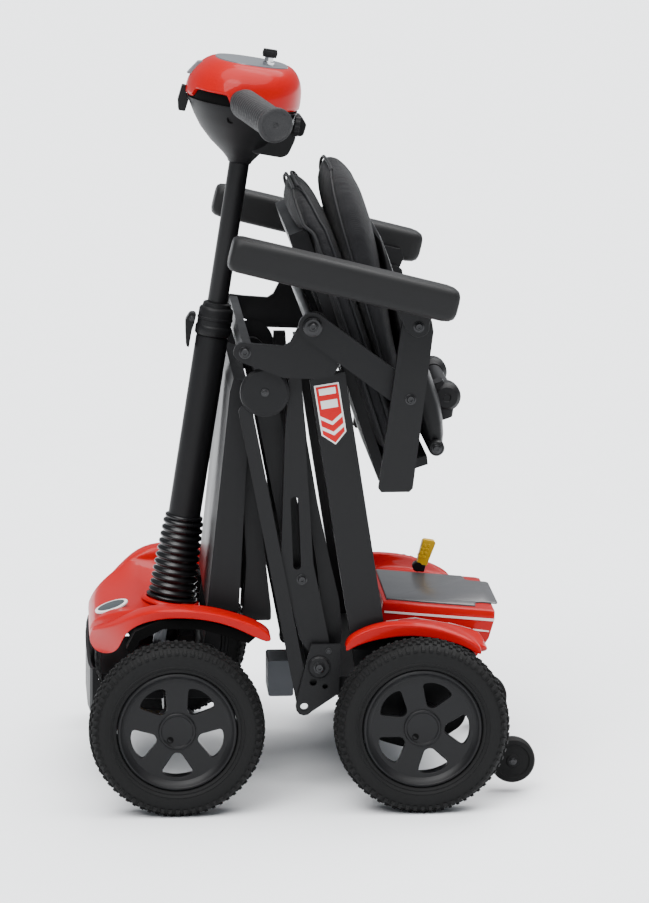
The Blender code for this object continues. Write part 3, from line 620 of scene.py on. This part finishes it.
def key():
    base = joint_at("key_turn")
    blade = turned_mesh(base, UP, [(0, -0.4), (6.6, -0.4), (6.6, 3.4), (5.2, 4.2), (5.2, 8.4),
                                   (6.2, 9.2), (0, 9.2)], 24)
    piece("key_stem", *blade, CHROME, "ignition_key", ["ignition_key"])
    parts = []
    for low, high, half_b, half_y in ((8.8, 18.2, 8.0, 5.0), (11.0, 16.0, 8.6, 5.5)):
        rings = []
        for z in (low, high):
            shape = rounded([(-half_b, -half_y), (half_b, -half_y), (half_b, half_y),
                             (-half_b, half_y)], 2.2, 4)
            rings.append([base + head_at(z, y, b) - head_at(0, 0, 0) for b, y in shape])
        parts.append(loft_mesh(rings))
    piece("key_bow", *join_meshes(parts), PLASTIC, "ignition_key", bevel=0.6)


def dial():
    """Small ribbed wheel at the rear of the head."""
    centre = head_at(56, -42, 54)
    rear = (math.cos(LEAN), 0, -math.sin(LEAN))
    along, first, second = axes_of(rear)
    rings = []
    for distance in (0.0, 5.6):
        ring = []
        for i in range(96):
            turn = 2 * math.pi * i / 96
            radius = 11.6 + (0.9 if i % 8 < 4 else 0.0)
            ring.append(centre + along * (distance * MM)
                        + (first * math.cos(turn) + second * math.sin(turn)) * (radius * MM))
        rings.append(ring)
    piece("rear_dial", *loft_mesh(rings), PLASTIC, "head", bevel=0.3)


def hook():
    """Basket bracket on the front of the head."""
    upper = [(110, -66), (111, -60), (99, -66), (94, -73), (94, -77), (100, -73)]
    lower = [(80, -75.6), (80, -80), (62, -82.5), (50, -80), (50, -72), (64, -70), (72, -74)]
    for name, outline, mat, half in (("hook_upper", upper, GREY, 7.0),
                                     ("hook_lower", lower, PLASTIC, 9.0)):
        piece(name, *plate_mesh(rounded(traced(head_at, outline), 1.5), -half, half), mat, "head",
              bevel=0.6)


def grips():
    for side, tag in ((-1, "l"), (1, "r")):
        root = at(84.0, side * 101.0, 797.6)
        tip = at(115.4, side * 222.0, 783.6)
        axis = tip - root
        length = axis.length / MM
        profile = [(0, -10), (13, -10), (13.5, 0), (15.4, 1), (16.6, 3)]
        d = 6.0
        while d < length - 22:
            profile += [(17.0, d), (17.4, d + 1.2), (17.4, d + 4.6), (16.7, d + 5.6)]
            d += 6.4
        profile += [(17.2, length - 14), (17.8, length - 8), (20.0, length - 6.2),
                    (20.4, length - 3), (19.2, length - 0.8), (16.4, length - 0.2),
                    (15.4, length - 1.2), (3.4, length - 1.2), (2.6, length - 2.4), (0, length - 2.4)]
        piece(f"grip_{side}", *turned_mesh(root, axis, profile, 72), GRIP, "head",
              [f"grip_{tag}"], angle=50)


# Seat

PIPING_R = 1.9
PIPING_PUSH = 0.6


def slab(rows, count=56, place=seat_at):
    """Loft of rounded sections: (p, half width, low q, high q, squareness)."""
    return loft_mesh([[place(p, y, (low + high) / 2 + q)
                       for y, q in squircle(half, (high - low) / 2, count, power)]
                      for p, half, low, high, power in rows])


def puff(obj, cap):
    """Blows the slab up as sewn cloth and keeps the result."""
    scene = bpy.context.scene
    grain = obj.modifiers.new("grain", "REMESH")
    grain.mode = "VOXEL"
    grain.voxel_size = 5.0 * MM
    keep(obj)
    rest = [v.co.copy() for v in obj.data.vertices]
    cloth = obj.modifiers.new("cloth", "CLOTH")
    cloth.settings.use_pressure = True
    cloth.settings.uniform_pressure_force = 4.0
    cloth.settings.effector_weights.gravity = 0.0
    cloth.settings.tension_stiffness = 20.0
    cloth.settings.compression_stiffness = 20.0
    cloth.settings.quality = 6
    for step in range(1, 21):
        scene.frame_set(step)
    keep(obj)
    scene.frame_set(1)
    for vertex, before in zip(obj.data.vertices, rest):
        move = vertex.co - before
        if move.length > cap * MM:
            vertex.co = before + move.normalized() * (cap * MM)


def keep(obj):
    """Applies every modifier."""
    graph = bpy.context.evaluated_depsgraph_get()
    mesh = bpy.data.meshes.new_from_object(obj.evaluated_get(graph))
    obj.modifiers.clear()
    obj.data = mesh


def cushion(name, rows, body, node, cap):
    obj = piece(name, *slab(rows), FABRIC)
    puff(obj, cap)
    for poly in obj.data.polygons:
        poly.use_smooth = True
    smooth = obj.modifiers.new("soft", "SUBSURF")
    smooth.levels = 1
    smooth.render_levels = 1
    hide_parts(node)
    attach(obj, body)


def piping_loop(name, rows, level, body):
    """Welt sewn round the cushion at a share of its thickness."""
    side = []
    for p, half, low, high, power in rows:
        q = low + (high - low) * level
        bulge = abs(level - 0.5) * 2.0
        width = half * (1.0 - bulge ** power) ** (1.0 / power) + PIPING_PUSH
        side.append((p, width, q))
    loop = [seat_at(p, -w, q) for p, w, q in side]
    loop += [seat_at(p, w, q) for p, w, q in reversed(side)]
    piece(name, *tube_mesh(smooth_loop(loop, 4), PIPING_R, 10, closed=True), PIPING, body)


def smooth_loop(points, steps):
    """Catmull-Rom points through a closed loop."""
    result = []
    count = len(points)
    for i in range(count):
        p0, p1, p2, p3 = (points[(i + k - 1) % count] for k in range(4))
        for step in range(steps):
            t = step / steps
            result.append(0.5 * (2 * p1 + (p2 - p0) * t + (2 * p0 - 5 * p1 + 4 * p2 - p3) * t * t
                                 + (3 * p1 - p0 - 3 * p2 + p3) * t * t * t))
    return result


SEAT_ROWS = [(22, 76, 11, 20, 2.2), (24, 98, 8, 24, 2.3), (29, 122, 5, 27, 2.5),
             (38, 144, 3.5, 30, 2.8), (50, 160, 3, 33, 3.2), (58, 167, 4, 34.5, 3.4),
             (68, 174, 12, 36, 3.6), (84, 181, 13, 37, 3.9), (110, 186, 13, 38, 4.2),
             (160, 187, 13, 38, 4.2), (220, 187, 13, 38, 4.2), (280, 186, 13, 37.5, 4.2),
             (316, 182, 13, 36.5, 4.0), (332, 175, 13.5, 34, 3.6), (340, 164, 15, 31, 3.0),
             (344, 148, 18, 27, 2.4)]
BACK_ROWS = [(16, 74, 60, 70, 2.2), (18, 96, 56, 75, 2.3), (24, 122, 52, 80, 2.5),
             (36, 146, 48, 83, 2.8), (54, 166, 45.4, 84, 3.2), (80, 180, 43.6, 83.6, 3.6),
             (110, 186, 43.2, 80.6, 4.0), (160, 187, 43, 73.6, 4.2), (220, 187, 43, 64.6, 4.2),
             (280, 185, 43, 60, 4.2), (310, 180, 43.4, 59.5, 3.8), (324, 170, 44, 58.5, 3.2),
             (331, 156, 46, 57, 2.6)]
SHELL_ROWS = [(101, 150, 86, 90, 2.4), (104, 164, 85.5, 91, 3), (120, 174, 83.6, 91.6, 4.4),
              (162, 177, 78, 92, 5.4), (206, 178, 71.6, 93.4, 5.5), (240, 178, 67, 95, 5),
              (275, 177, 64.6, 97, 4.6), (300, 176, 63.6, 98, 4.4), (322, 175, 63.6, 95, 4.2),
              (338, 173, 64, 91, 4), (348, 170, 65.4, 87, 3.4), (355, 164, 68, 82, 2.8),
              (357, 158, 71, 79, 2.4)]


def seat():
    cushion("seat_pad", SEAT_ROWS, "seat", "seat_cushion", 3.4)
    cushion("back_pad", BACK_ROWS, "backrest", "back_cushion", 2.8)
    piping_loop("seat_piping_low", SEAT_ROWS, 0.22, "seat")
    piping_loop("seat_piping_high", SEAT_ROWS, 0.82, "seat")
    piping_loop("back_piping", BACK_ROWS, 0.18, "backrest")
    def shell_place(p, y, q):
        return seat_at(p, y * 0.96, q)

    piece("back_moulding", *slab(SHELL_ROWS, 64, shell_place), PLASTIC, "backrest", ["back_shell"],
          angle=60)
    spot = seat_at(306, 0, 106)
    for side in (-1, 1):
        foot = spot + Vector((0, side * 78 * MM, 0))
        boss = [(0, -4), (11.5, -4), (14.5, 0), (16.6, 3), (17, 10), (17, 24), (16, 30), (12, 34),
                (5, 34.4), (4, 33.4), (0, 33.4)]
        piece(f"handle_boss_{side}", *turned_mesh(foot, (0, side, 0), boss, 48), PLASTIC,
              "backrest")
        arm = slab([(286, 14, 92, 108, 4), (296, 15, 90, 112, 4), (318, 15, 88, 112, 4),
                    (330, 14, 86, 106, 4)], 32, lambda p, y, q, s=side: seat_at(p, s * 95 + y, q))
        piece(f"handle_arm_{side}", *arm, PLASTIC, "backrest")
    bar = turned_mesh(spot, (0, 1, 0), [(0, -84), (9.6, -84), (10.4, -70), (10.8, 0), (10.4, 70),
                                        (9.6, 84), (0, 84)], 40)
    piece("handle_bar", *bar, PLASTIC, "backrest")
    hinge = turned_mesh(joint_at("backrest_fold"), (0, 1, 0),
                        [(0, -176), (7.6, -176), (9.2, -174), (9.4, -160), (9.4, 160), (9.2, 174),
                         (7.6, 176), (0, 176)], 40)
    piece("back_hinge", *hinge, COAT, "seat")
    for side in (-1, 1):
        bolt(f"back_hinge_bolt_{side}", joint_at("backrest_fold") + Vector((0, side * 176 * MM, 0)),
             (0, side, 0), 4.6, "seat", tall=1.6)
    pan_ribs()


def pan_ribs():
    """Stiffening ribs under the seat pan."""
    long_rib = traced(seat_at, [(93, 0.6), (168, 0.6), (166, -3.6), (90, -3.6)])
    parts = [plate_mesh(long_rib, y - 1.6, y + 1.6) for y in range(-140, 141, 28)]
    for p in (104, 124, 144, 162):
        cross_rib = [(p - 1.6, -0.2), (p + 1.6, -0.2), (p + 1.4, -3.2), (p - 1.4, -3.2)]
        parts.append(plate_mesh(traced(seat_at, cross_rib), -142, 142))
    piece("pan_ribs", *join_meshes(parts), PLASTIC, "seat", bevel=0.4)


PAD_TILT = math.radians(-13.9)
PAD_CENTRE = (189.2, 260, 615.3)
PAD_PIN = (275.6, 556.7)
PAD_ROWS = [(-130.6, 19, -13.5, 13.5, 3), (-129.6, 22, -16.4, 16.4, 3.6),
            (-126, 24.2, -18.6, 18.6, 4.4), (-120, 25, -19.4, 19.4, 5.2), (-60, 25, -19.6, 19.6, 5.6),
            (0, 25, -19.6, 19.6, 5.6), (60, 25, -19.6, 19.6, 5.6), (116, 25, -19.4, 19.4, 5.2),
            (124, 24.2, -18.2, 18.4, 4.4), (129, 22, -15.4, 16, 3.6), (130.6, 19, -12, 13, 3)]


def arms():
    """Arm pads with their hinge brackets."""
    for side, tag in ((-1, "l"), (1, "r")):
        def place(p, y, q, s=side):
            a = p * math.cos(PAD_TILT) - q * math.sin(PAD_TILT)
            b = p * math.sin(PAD_TILT) + q * math.cos(PAD_TILT)
            return at(PAD_CENTRE[0] + a, s * (PAD_CENTRE[1] + y), PAD_CENTRE[2] + b)

        pad = piece(f"arm_foam_{tag}", *slab(PAD_ROWS, 64, place), PAD, None, [f"arm_pad_{tag}"], angle=50)
        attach(pad, f"pad_{tag}")
        end = circle(PAD_PIN, 12.0, 9, math.radians(225), math.radians(150))
        tab = [(243, 590), (262, 552)] + end + [(294, 575), (290, 586), (240, 598)]
        piece(f"pad_bracket_{tag}", *plate_mesh(rounded(tab, 1.2, 2), side * 226, side * 234.6), COAT,
              f"pad_{tag}", bevel=0.8)
        bolt(f"pad_bolt_{tag}", at(PAD_PIN[0], side * 234.6, PAD_PIN[1]), (0, side, 0), 4.6, f"pad_{tag}")
        bolt(f"arm_bolt_{tag}", at(267.2, side * 225.0, 472.5), (0, side, 0), 4.6, f"arm_{tag}")


# Covers

def mirrored(half):
    rings = half + [[(s, -y, z) for s, y, z in ring] for ring in reversed(half)]
    return strip_mesh([[at(*point) for point in ring] for ring in rings])


WING_Y = 207.0
NOSE_PLAN = ((-99.0, 84.0), (-90.0, 112.0), (-77.0, 140.0), (-60.0, 168.0), (-43.0, 190.0),
             (-12.0, WING_Y))


def drawn_in(s, y):
    """Side position once the nose is rounded in plan ahead of the wheels."""
    width = WING_Y
    for (s0, w0), (s1, w1) in zip(NOSE_PLAN, NOSE_PLAN[1:]):
        if s0 <= s <= s1:
            width = w0 + (w1 - w0) * (s - s0) / (s1 - s0)
    return y * width / WING_Y


def wing_ring(y, rise):
    """Section of a wing: the nose's side wall, then a thin band over the wheel."""
    top = [(-92, 162), (-98, 170), (-97, 182), (-77, 193), (-43, 221), (-14, 229), (34, 227),
           (72, 217), (112, 201)]
    under = [(110, 184), (72, 207), (34, 218), (-14, 220), (-46, 207), (-58, 192), (-63, 177),
             (-70, 167), (-82, 162)]
    outline = [(s, z + rise) for s, z in top] + under
    return [(s, drawn_in(s, y), z) for s, z in outline]


def nose_ring(y, rise):
    """Section of the nose, whose middle dips below the boot."""
    top = [(-90, 153), (-98, 164), (-98, 186), (-86, 201), (-62, 205), (-40, 203),
           (-28, 196), (4, 193), (31, 192)]
    under = [(31, 187), (4, 188), (-28, 190), (-46, 194), (-66, 195), (-82, 190), (-90, 178),
             (-90, 166), (-84, 155)]
    lift = [0.4, 0.2, -0.2, -0.2, 0.6, 1.4, 1.6, 1.6, 1.6]
    outline = [(s, z + rise * share) for (s, z), share in zip(top, lift)]
    outline += [(s, z + rise * share) for (s, z), share in zip(under, reversed(lift))]
    return [(s, drawn_in(s, y), z) for s, z in outline]


def front_cover():
    half = [wing_ring(207, -1.5), wing_ring(206.8, -1.2), wing_ring(205, 0.5), wing_ring(202, 1.2),
            wing_ring(194, 2.0), wing_ring(180, 2.0), wing_ring(173, 1.0), wing_ring(172, 0.0),
            nose_ring(165, 12.0), nose_ring(156, 11.0), nose_ring(140, 8.0), nose_ring(115, 5.0),
            nose_ring(90, 2.0), nose_ring(45, 0.0)]
    verts, faces = mirrored(half)
    piece("front_body", verts, faces, RED, "front_frame", ["front_cover"], angle=180, levels=2)
    seat_ring = turned_mesh(tiller_at(-6.5), UP,
                            [(30, 0), (34, 0.5), (35, 2.4), (34, 4.6), (32, 6.2), (30, 6.2)], 64,
                            closed=True)
    piece("boot_seat", *seat_ring, RED, "front_frame")
    for side in (-1, 1):
        # Painted shade: a dark band inside each front wing, where the arch is in shade
        arch_shade = [(-56, 182), (-46, 202), (-16, 216), (32, 214.5), (68, 204), (92, 194),
                 (84, 187), (64, 194), (30, 204), (-14, 205), (-40, 192), (-50, 176)]
        piece(f"front_liner_{side}", *plate_mesh(arch_shade, side * 176, side * 200), SHADOW,
              "front_frame")
        guard = [(-44, 112), (46, 112), (60, 150), (44, 176), (-40, 176), (-56, 150)]
        piece(f"front_guard_{side}", *plate_mesh(rounded(guard, 6), side * 146, side * 149), PLASTIC,
              "front_frame", bevel=1.0)
    plug = [(-34, 134), (-30, 141), (-6, 147), (-5, 142), (-16, 138), (-14, 133)]
    piece("cable_plug", *plate_mesh(rounded(plug, 1.5), -158, -149.5), YELLOW, "front_frame",
          bevel=0.8)
    badge()


def badge():
    """Plain oval badge with a pale rim on the nose."""
    centre = at(-71, -72, 205.2)
    normal = Vector((-0.30, -0.16, 0.94)).normalized()
    side = Vector((0, 1, 0)).cross(normal).normalized()
    other = normal.cross(side)
    rim_rows = ((20, 15, 0), (20, 15, 1.6), (18, 13, 2.2))
    face_rows = ((17.4, 12.4, 0.4), (17.4, 12.4, 2.0), (15, 10.5, 2.5))
    for name, mat, rows in (("badge_rim", WHITE, rim_rows), ("badge_face", BADGE, face_rows)):
        rings = [oval(centre + normal * (h * MM), side, other, a, 48, b) for a, b, h in rows]
        piece(name, *loft_mesh(rings), mat, "front_frame")


def block_ring(y, top):
    """Section of the battery housing."""
    front = [(252, 146.5), (243, 168), (243, 200), (246, top)]
    deck = [(250, top - 0.4), (256, top - 0.5), (300, top - 5), (366, top - 11), (372, top - 11.6)]
    back = [(377, top - 13), (376.6, 190), (370, 168), (356, 146.5)]
    return [(s, y, z) for s, z in front + deck + back]


def arch_ring(y, rise):
    """Section of a wing over a rear wheel."""
    top = [(194, 181), (196, 193), (216, 204), (238, 210), (258, 211), (280, 209.5),
           (304, 205), (330, 195), (350, 184)]
    under = [(352, 172), (338, 182), (322, 189), (296, 196), (270, 199), (244, 197), (220, 192),
             (206, 187), (197, 182)]
    return [(s, y, z + rise) for s, z in top + under]


def valley_ring(y, floor):
    """Section of the low ground between a wing and the battery housing."""
    line = [(254, floor), (254, floor + 8), (256, 190), (262, 196), (282, 196), (306, 193),
            (334, 187), (352, 181), (362, 176)]
    under = [(358, floor), (346, floor), (330, floor), (310, floor), (290, floor), (280, floor),
             (270, floor), (264, floor), (258, floor)]
    return [(s, y, z) for s, z in line + under]


def rear_cover():
    half = [arch_ring(215, -1.8), arch_ring(214.8, -1.4), arch_ring(213, 0.2), arch_ring(209, 1.4),
            arch_ring(203, 1.8), arch_ring(198.4, 0.8), arch_ring(198, 0.4),
            valley_ring(191, 172), valley_ring(186, 170), valley_ring(120, 164),
            valley_ring(102, 163)]
    for side in (-1, 1):
        rings = [[at(s, side * y, z) for s, y, z in ring] for ring in half]
        piece(f"rear_wing_{side}", *strip_mesh(rings), RED, "rear_frame",
              ["rear_cover"] if side < 0 else (), angle=180, levels=2)
        # Painted shade: a dark band inside each rear wing, where the arch is in shade
        arch_shade = [(204, 180), (222, 190), (270, 197), (320, 187), (344, 172), (336, 164),
                 (312, 176), (270, 184), (228, 178)]
        piece(f"rear_liner_{side}", *plate_mesh(arch_shade, side * 192, side * 205), SHADOW,
              "rear_frame")
        guard = [(216, 96), (232, 72), (266, 62), (300, 68), (330, 88), (342, 120), (332, 158),
                 (226, 158)]
        piece(f"motor_guard_{side}", *plate_mesh(rounded(guard, 8), side * 199, side * 202), PLASTIC,
              "rear_frame", bevel=1.0)
    rows = [(100, 204, 1.5), (99.6, 209, 0.6), (98.6, 211.6, 0), (96, 212.8, 0), (90, 213, 0),
            (0, 213, 0)]
    rows += [(-y, top, inset) for y, top, inset in reversed(rows[:-1])]
    rings = [[at(s - math.copysign(inset, s - 310), y, z) for s, y, z in block_ring(y, top)]
             for y, top, inset in rows]
    piece("battery_housing", *loft_mesh(rings), RED, "rear_frame", angle=38, bevel=1.8, segments=3)
    stripes()


def stripes():
    """Plain white lines along the sides of the battery housing."""
    bands = (((247, 201.2, 2.4), (376, 189.6, 3.0)), ((249, 189, 2.6), (284, 193.6, 1.2)),
             ((284, 193.4, 0.8), (322, 186.4, 1.0)), ((322, 186.6, 2.0), (349, 178.4, 3.0)),
             ((351, 178.6, 2.0), (370, 176.2, 1.4)))
    section = ((99.0, -0.5), (100.7, -0.5), (100.7, 0.5), (99.0, 0.5))
    for side in (-1, 1):
        parts = []
        for start, end in bands:
            parts.append(loft_mesh([[at(s, side * y, z + share * h) for y, share in section]
                                    for s, z, h in (start, end)]))
        piece(f"side_lines_{side}", *join_meshes(parts), WHITE, "rear_frame")


def battery():
    top = 213.0
    box = [(251.5, top - 26), (300, top - 31), (364, top - 37), (364, top - 12.6), (251.5, top - 1.8)]
    piece("battery_case", *plate_mesh(box, -87.5, 87.5), PLASTIC, "battery", ["battery_pack"],
          bevel=1.5)
    slope = (-11.0 + 0.5) / (366.0 - 250.0)

    def lid_z(s):
        return top - 0.5 + (s - 250.0) * slope

    plan = [(250.5, -87), (355, -87), (357, -66), (364, -62), (382, -62), (384, -58), (384, 58),
            (382, 62), (364, 62), (357, 66), (355, 87), (250.5, 87)]
    plan = rounded(plan, 2.0, 3)
    rings = []
    for inset, lift in ((0.0, 0.0), (0.0, 1.6), (0.8, 2.2)):
        rings.append([at(s - math.copysign(inset, s - 310), y - math.copysign(inset, y), lid_z(s) + lift)
                      for s, y in plan])
    piece("battery_lid", *loft_mesh(rings), LID, "battery")


def freewheel():
    base = joint_at("freewheel")
    outline = [(300, 215), (313, 215), (324, 243), (322.5, 245.5), (310.5, 247.5), (308, 246)]
    parts = [plate_mesh(rounded(outline, 1.6), 99.2, 111.8)]
    for row in range(4):
        for column in range(2):
            s = 310.2 + column * 5.4 - row * 1.9
            z = 240.8 - row * 4.6 - column * 0.8
            cell = circle((s, z), 2.1, 6, 0.3)
            parts.append(plate_mesh(cell, 98.4, 112.6))
    piece("lever_handle", *join_meshes(parts), YELLOW, "freewheel_lever", ["freewheel_lever"],
          bevel=0.5)
    foot = [(298, 209), (310, 207.5), (312, 216.5), (299.5, 217.5)]
    piece("lever_foot", *plate_mesh(rounded(foot, 2), 98.6, 112.4), PLASTIC, "freewheel_lever",
          bevel=0.8)
    hub = turned_mesh(Vector((base.x, 0.0985, base.z)), (0, 1, 0),
                      [(0, 0), (5.4, 0), (6.0, 1), (6.0, 13), (5.4, 14), (0, 14)], 32)
    piece("lever_hub", *hub, PLASTIC, "freewheel_lever")


# Frame parts kept from the CAD model

# Finish, width of the softened edges, names
KEPT = (
    (COAT, 0.8, ("bracket_l", "bracket_r", "link_bar_l", "link_bar_r", "knuckle_l", "knuckle_r")),
    (COAT, 1.0, ("antitip_frame", "rear_leg", "front_chassis")),
    (COAT, 1.2, ("front_post_l", "front_post_r")),
    (COAT, 1.5, ("chassis_tray", "seat_plate_l", "seat_plate_r", "cross_strap", "seat_bar_l",
                 "seat_bar_r", "arm_post_l", "arm_post_r")),
    (COAT, 2.5, ("main_beam_l", "main_beam_r", "foot_deck")),
    (PLASTIC, 1.0, ("apex_shaft",)), (PLASTIC, 1.5, ("seat_pan",)), (PLASTIC, 2.0, ("front_bumper",)),
    (CASTING, 1.0, ("transaxle",)), (CASTING, 2.0, ("actuator_box",)),
    (DARK_STEEL, 0.5, ("seat_pivot_shaft",)), (STEEL, 0.8, ("steer_stem",)),
)


def kept_nodes():
    """Gives the CAD parts that stay their finish and soft edges."""
    for mat, width, node in [(mat, width, frame["nodes"][name]) for mat, width, names in KEPT
                             for name in names]:
        node.data.materials.clear()
        node.data.materials.append(mat)
        edge = node.modifiers.new("edge", "BEVEL")
        edge.width = width * MM
        edge.segments = 3
        edge.limit_method = "ANGLE"
        edge.angle_limit = math.radians(30.0)
        edge.harden_normals = False


# Screws on each side of the frame: name, station, side, height, radius, body, head height
SCREWS = (
    ("apex_screw", 103.5, 195.6, 477, 3.4, "apex", 0.8),
    ("plate_screw", 80.5, 204.6, 524.6, 5.2, "rear_frame", 3.0),
    ("post_screw", 146.0, 185.5, 257.8, 4.6, "rear_frame", 3.0),
    ("seat_screw", 156.8, 219.0, 554.8, 5.0, "rear_frame", 3.0),
    ("low_screw", 165.0, 200.0, 157.5, 5.0, "rear_leg", 3.0),
    ("bracket_screw_a", 176, 195.6, 176, 2.6, "rear_frame", 1.4),
)


def frame_details():
    """Screws and stickers."""
    for side, tag in ((-1, "l"), (1, "r")):
        for name, s, y, z, radius, body, tall in SCREWS:
            bolt(f"{name}_{tag}", at(s, side * y, z), (0, side, 0), radius, body, tall=tall)
        sticker(side, tag)


STICKER_SIZE = 0.93


def inner_webs():
    """Stiffening ribs behind the foot deck and webs beside the rear legs."""
    rib = [(76, 440), (86, 430), (97, 373), (107, 268), (113, 214), (113, 200), (80, 200),
           (84, 268)]
    web = [(148, 470), (153, 417), (165, 345), (180, 273), (190, 231), (193, 200), (192, 178),
           (174, 178), (164, 273), (151, 356)]
    for side in (-1, 1):
        for y in (52, 96, 132):
            piece(f"deck_rib_{side}_{y}", *plate_mesh(rounded(rib, 3), side * y, side * (y + 3)),
                  COAT, "foot_deck", bevel=0.6)
        piece(f"leg_web_{side}", *plate_mesh(rounded(web, 3), side * 160.5, side * 163.5), COAT,
              "rear_frame", bevel=0.6)


def sticker(side, tag):
    """Generic red and white chevron sticker on the beam's outer face."""
    top = (173.5, 485.5)
    lean = math.atan2(46.0, 293.0)

    def on_beam(a, b):
        return (top[0] + a * math.sin(lean) + b * math.cos(lean),
                top[1] - a * math.cos(lean) + b * math.sin(lean))

    def print_piece(name, shape, mat, lift):
        outline = [on_beam(a * STICKER_SIZE, b * 1.02) for a, b in shape]
        piece(f"{name}_{tag}", *plate_mesh(outline, side * 190.05, side * (190.2 + lift)), mat,
              "rear_frame")

    print_piece("sticker_base", [(0, -14), (0, 14), (62, 14), (76, 0), (62, -14)], WHITE, 0.1)
    print_piece("sticker_red", [(2, -12.4), (2, 12.4), (61.4, 12.4), (73.6, 0), (61.4, -12.4)],
                RED_PRINT, 0.25)
    for i, a in enumerate((38.0, 51.0)):
        print_piece(f"sticker_chevron_{i}", [(a, -12.4), (a + 9, 0), (a, 12.4), (a + 4.4, 12.4),
                                             (a + 13.4, 0), (a + 4.4, -12.4)], WHITE, 0.4)
    print_piece("sticker_panel", [(5, -9.4), (5, 9.4), (13, 9.4), (13, -9.4)], WHITE, 0.4)
    print_piece("sticker_bar", [(20, -9.4), (20, 9.4), (30, 9.4), (30, -9.4)], WHITE, 0.4)


# Studio

def studio():
    bpy.ops.mesh.primitive_plane_add(size=60.0, location=(0, 0, 0))
    floor = bpy.context.object
    floor.name = "floor"
    floor.data.materials.append(finish("floor_sweep", (0.86, 0.875, 0.89), 0.7, specular=0.2,
                                       grain=40, bump=0.02, shade=0.01))
    world = bpy.data.worlds.new("studio")
    world.use_nodes = True
    world.node_tree.nodes["Background"].inputs["Color"].default_value = (0.90, 0.94, 1.0, 1.0)
    world.node_tree.nodes["Background"].inputs["Strength"].default_value = 0.45
    bpy.context.scene.world = world
    for name, tilt, turn, spread, power in SUNS:
        data = bpy.data.lights.new(name, "SUN")
        data.angle = math.radians(spread)
        data.energy = power
        light = bpy.data.objects.new(name, data)
        light.rotation_euler = (math.radians(tilt), 0.0, math.radians(turn))
        light.location = (0.0, 0.0, 3.0)
        bpy.context.scene.collection.objects.link(light)


def camera():
    data = bpy.data.cameras.new("camera")
    data.lens = CAMERA_LENS
    data.sensor_width = 36.0
    data.clip_end = 200.0
    view = bpy.data.objects.new("camera", data)
    view.location = CAMERA_PLACE
    back = Vector((math.sin(CAMERA_AZIMUTH) * math.cos(CAMERA_ELEVATION),
                   -math.cos(CAMERA_AZIMUTH) * math.cos(CAMERA_ELEVATION),
                   math.sin(CAMERA_ELEVATION)))
    view.rotation_euler = back.to_track_quat("Z", "Y").to_euler()
    bpy.context.scene.collection.objects.link(view)
    bpy.context.scene.camera = view


camera()
studio()
kept_nodes()
wheels()
tiller()
head()
seat()
arms()
front_cover()
rear_cover()
battery()
freewheel()
frame_details()
inner_webs()
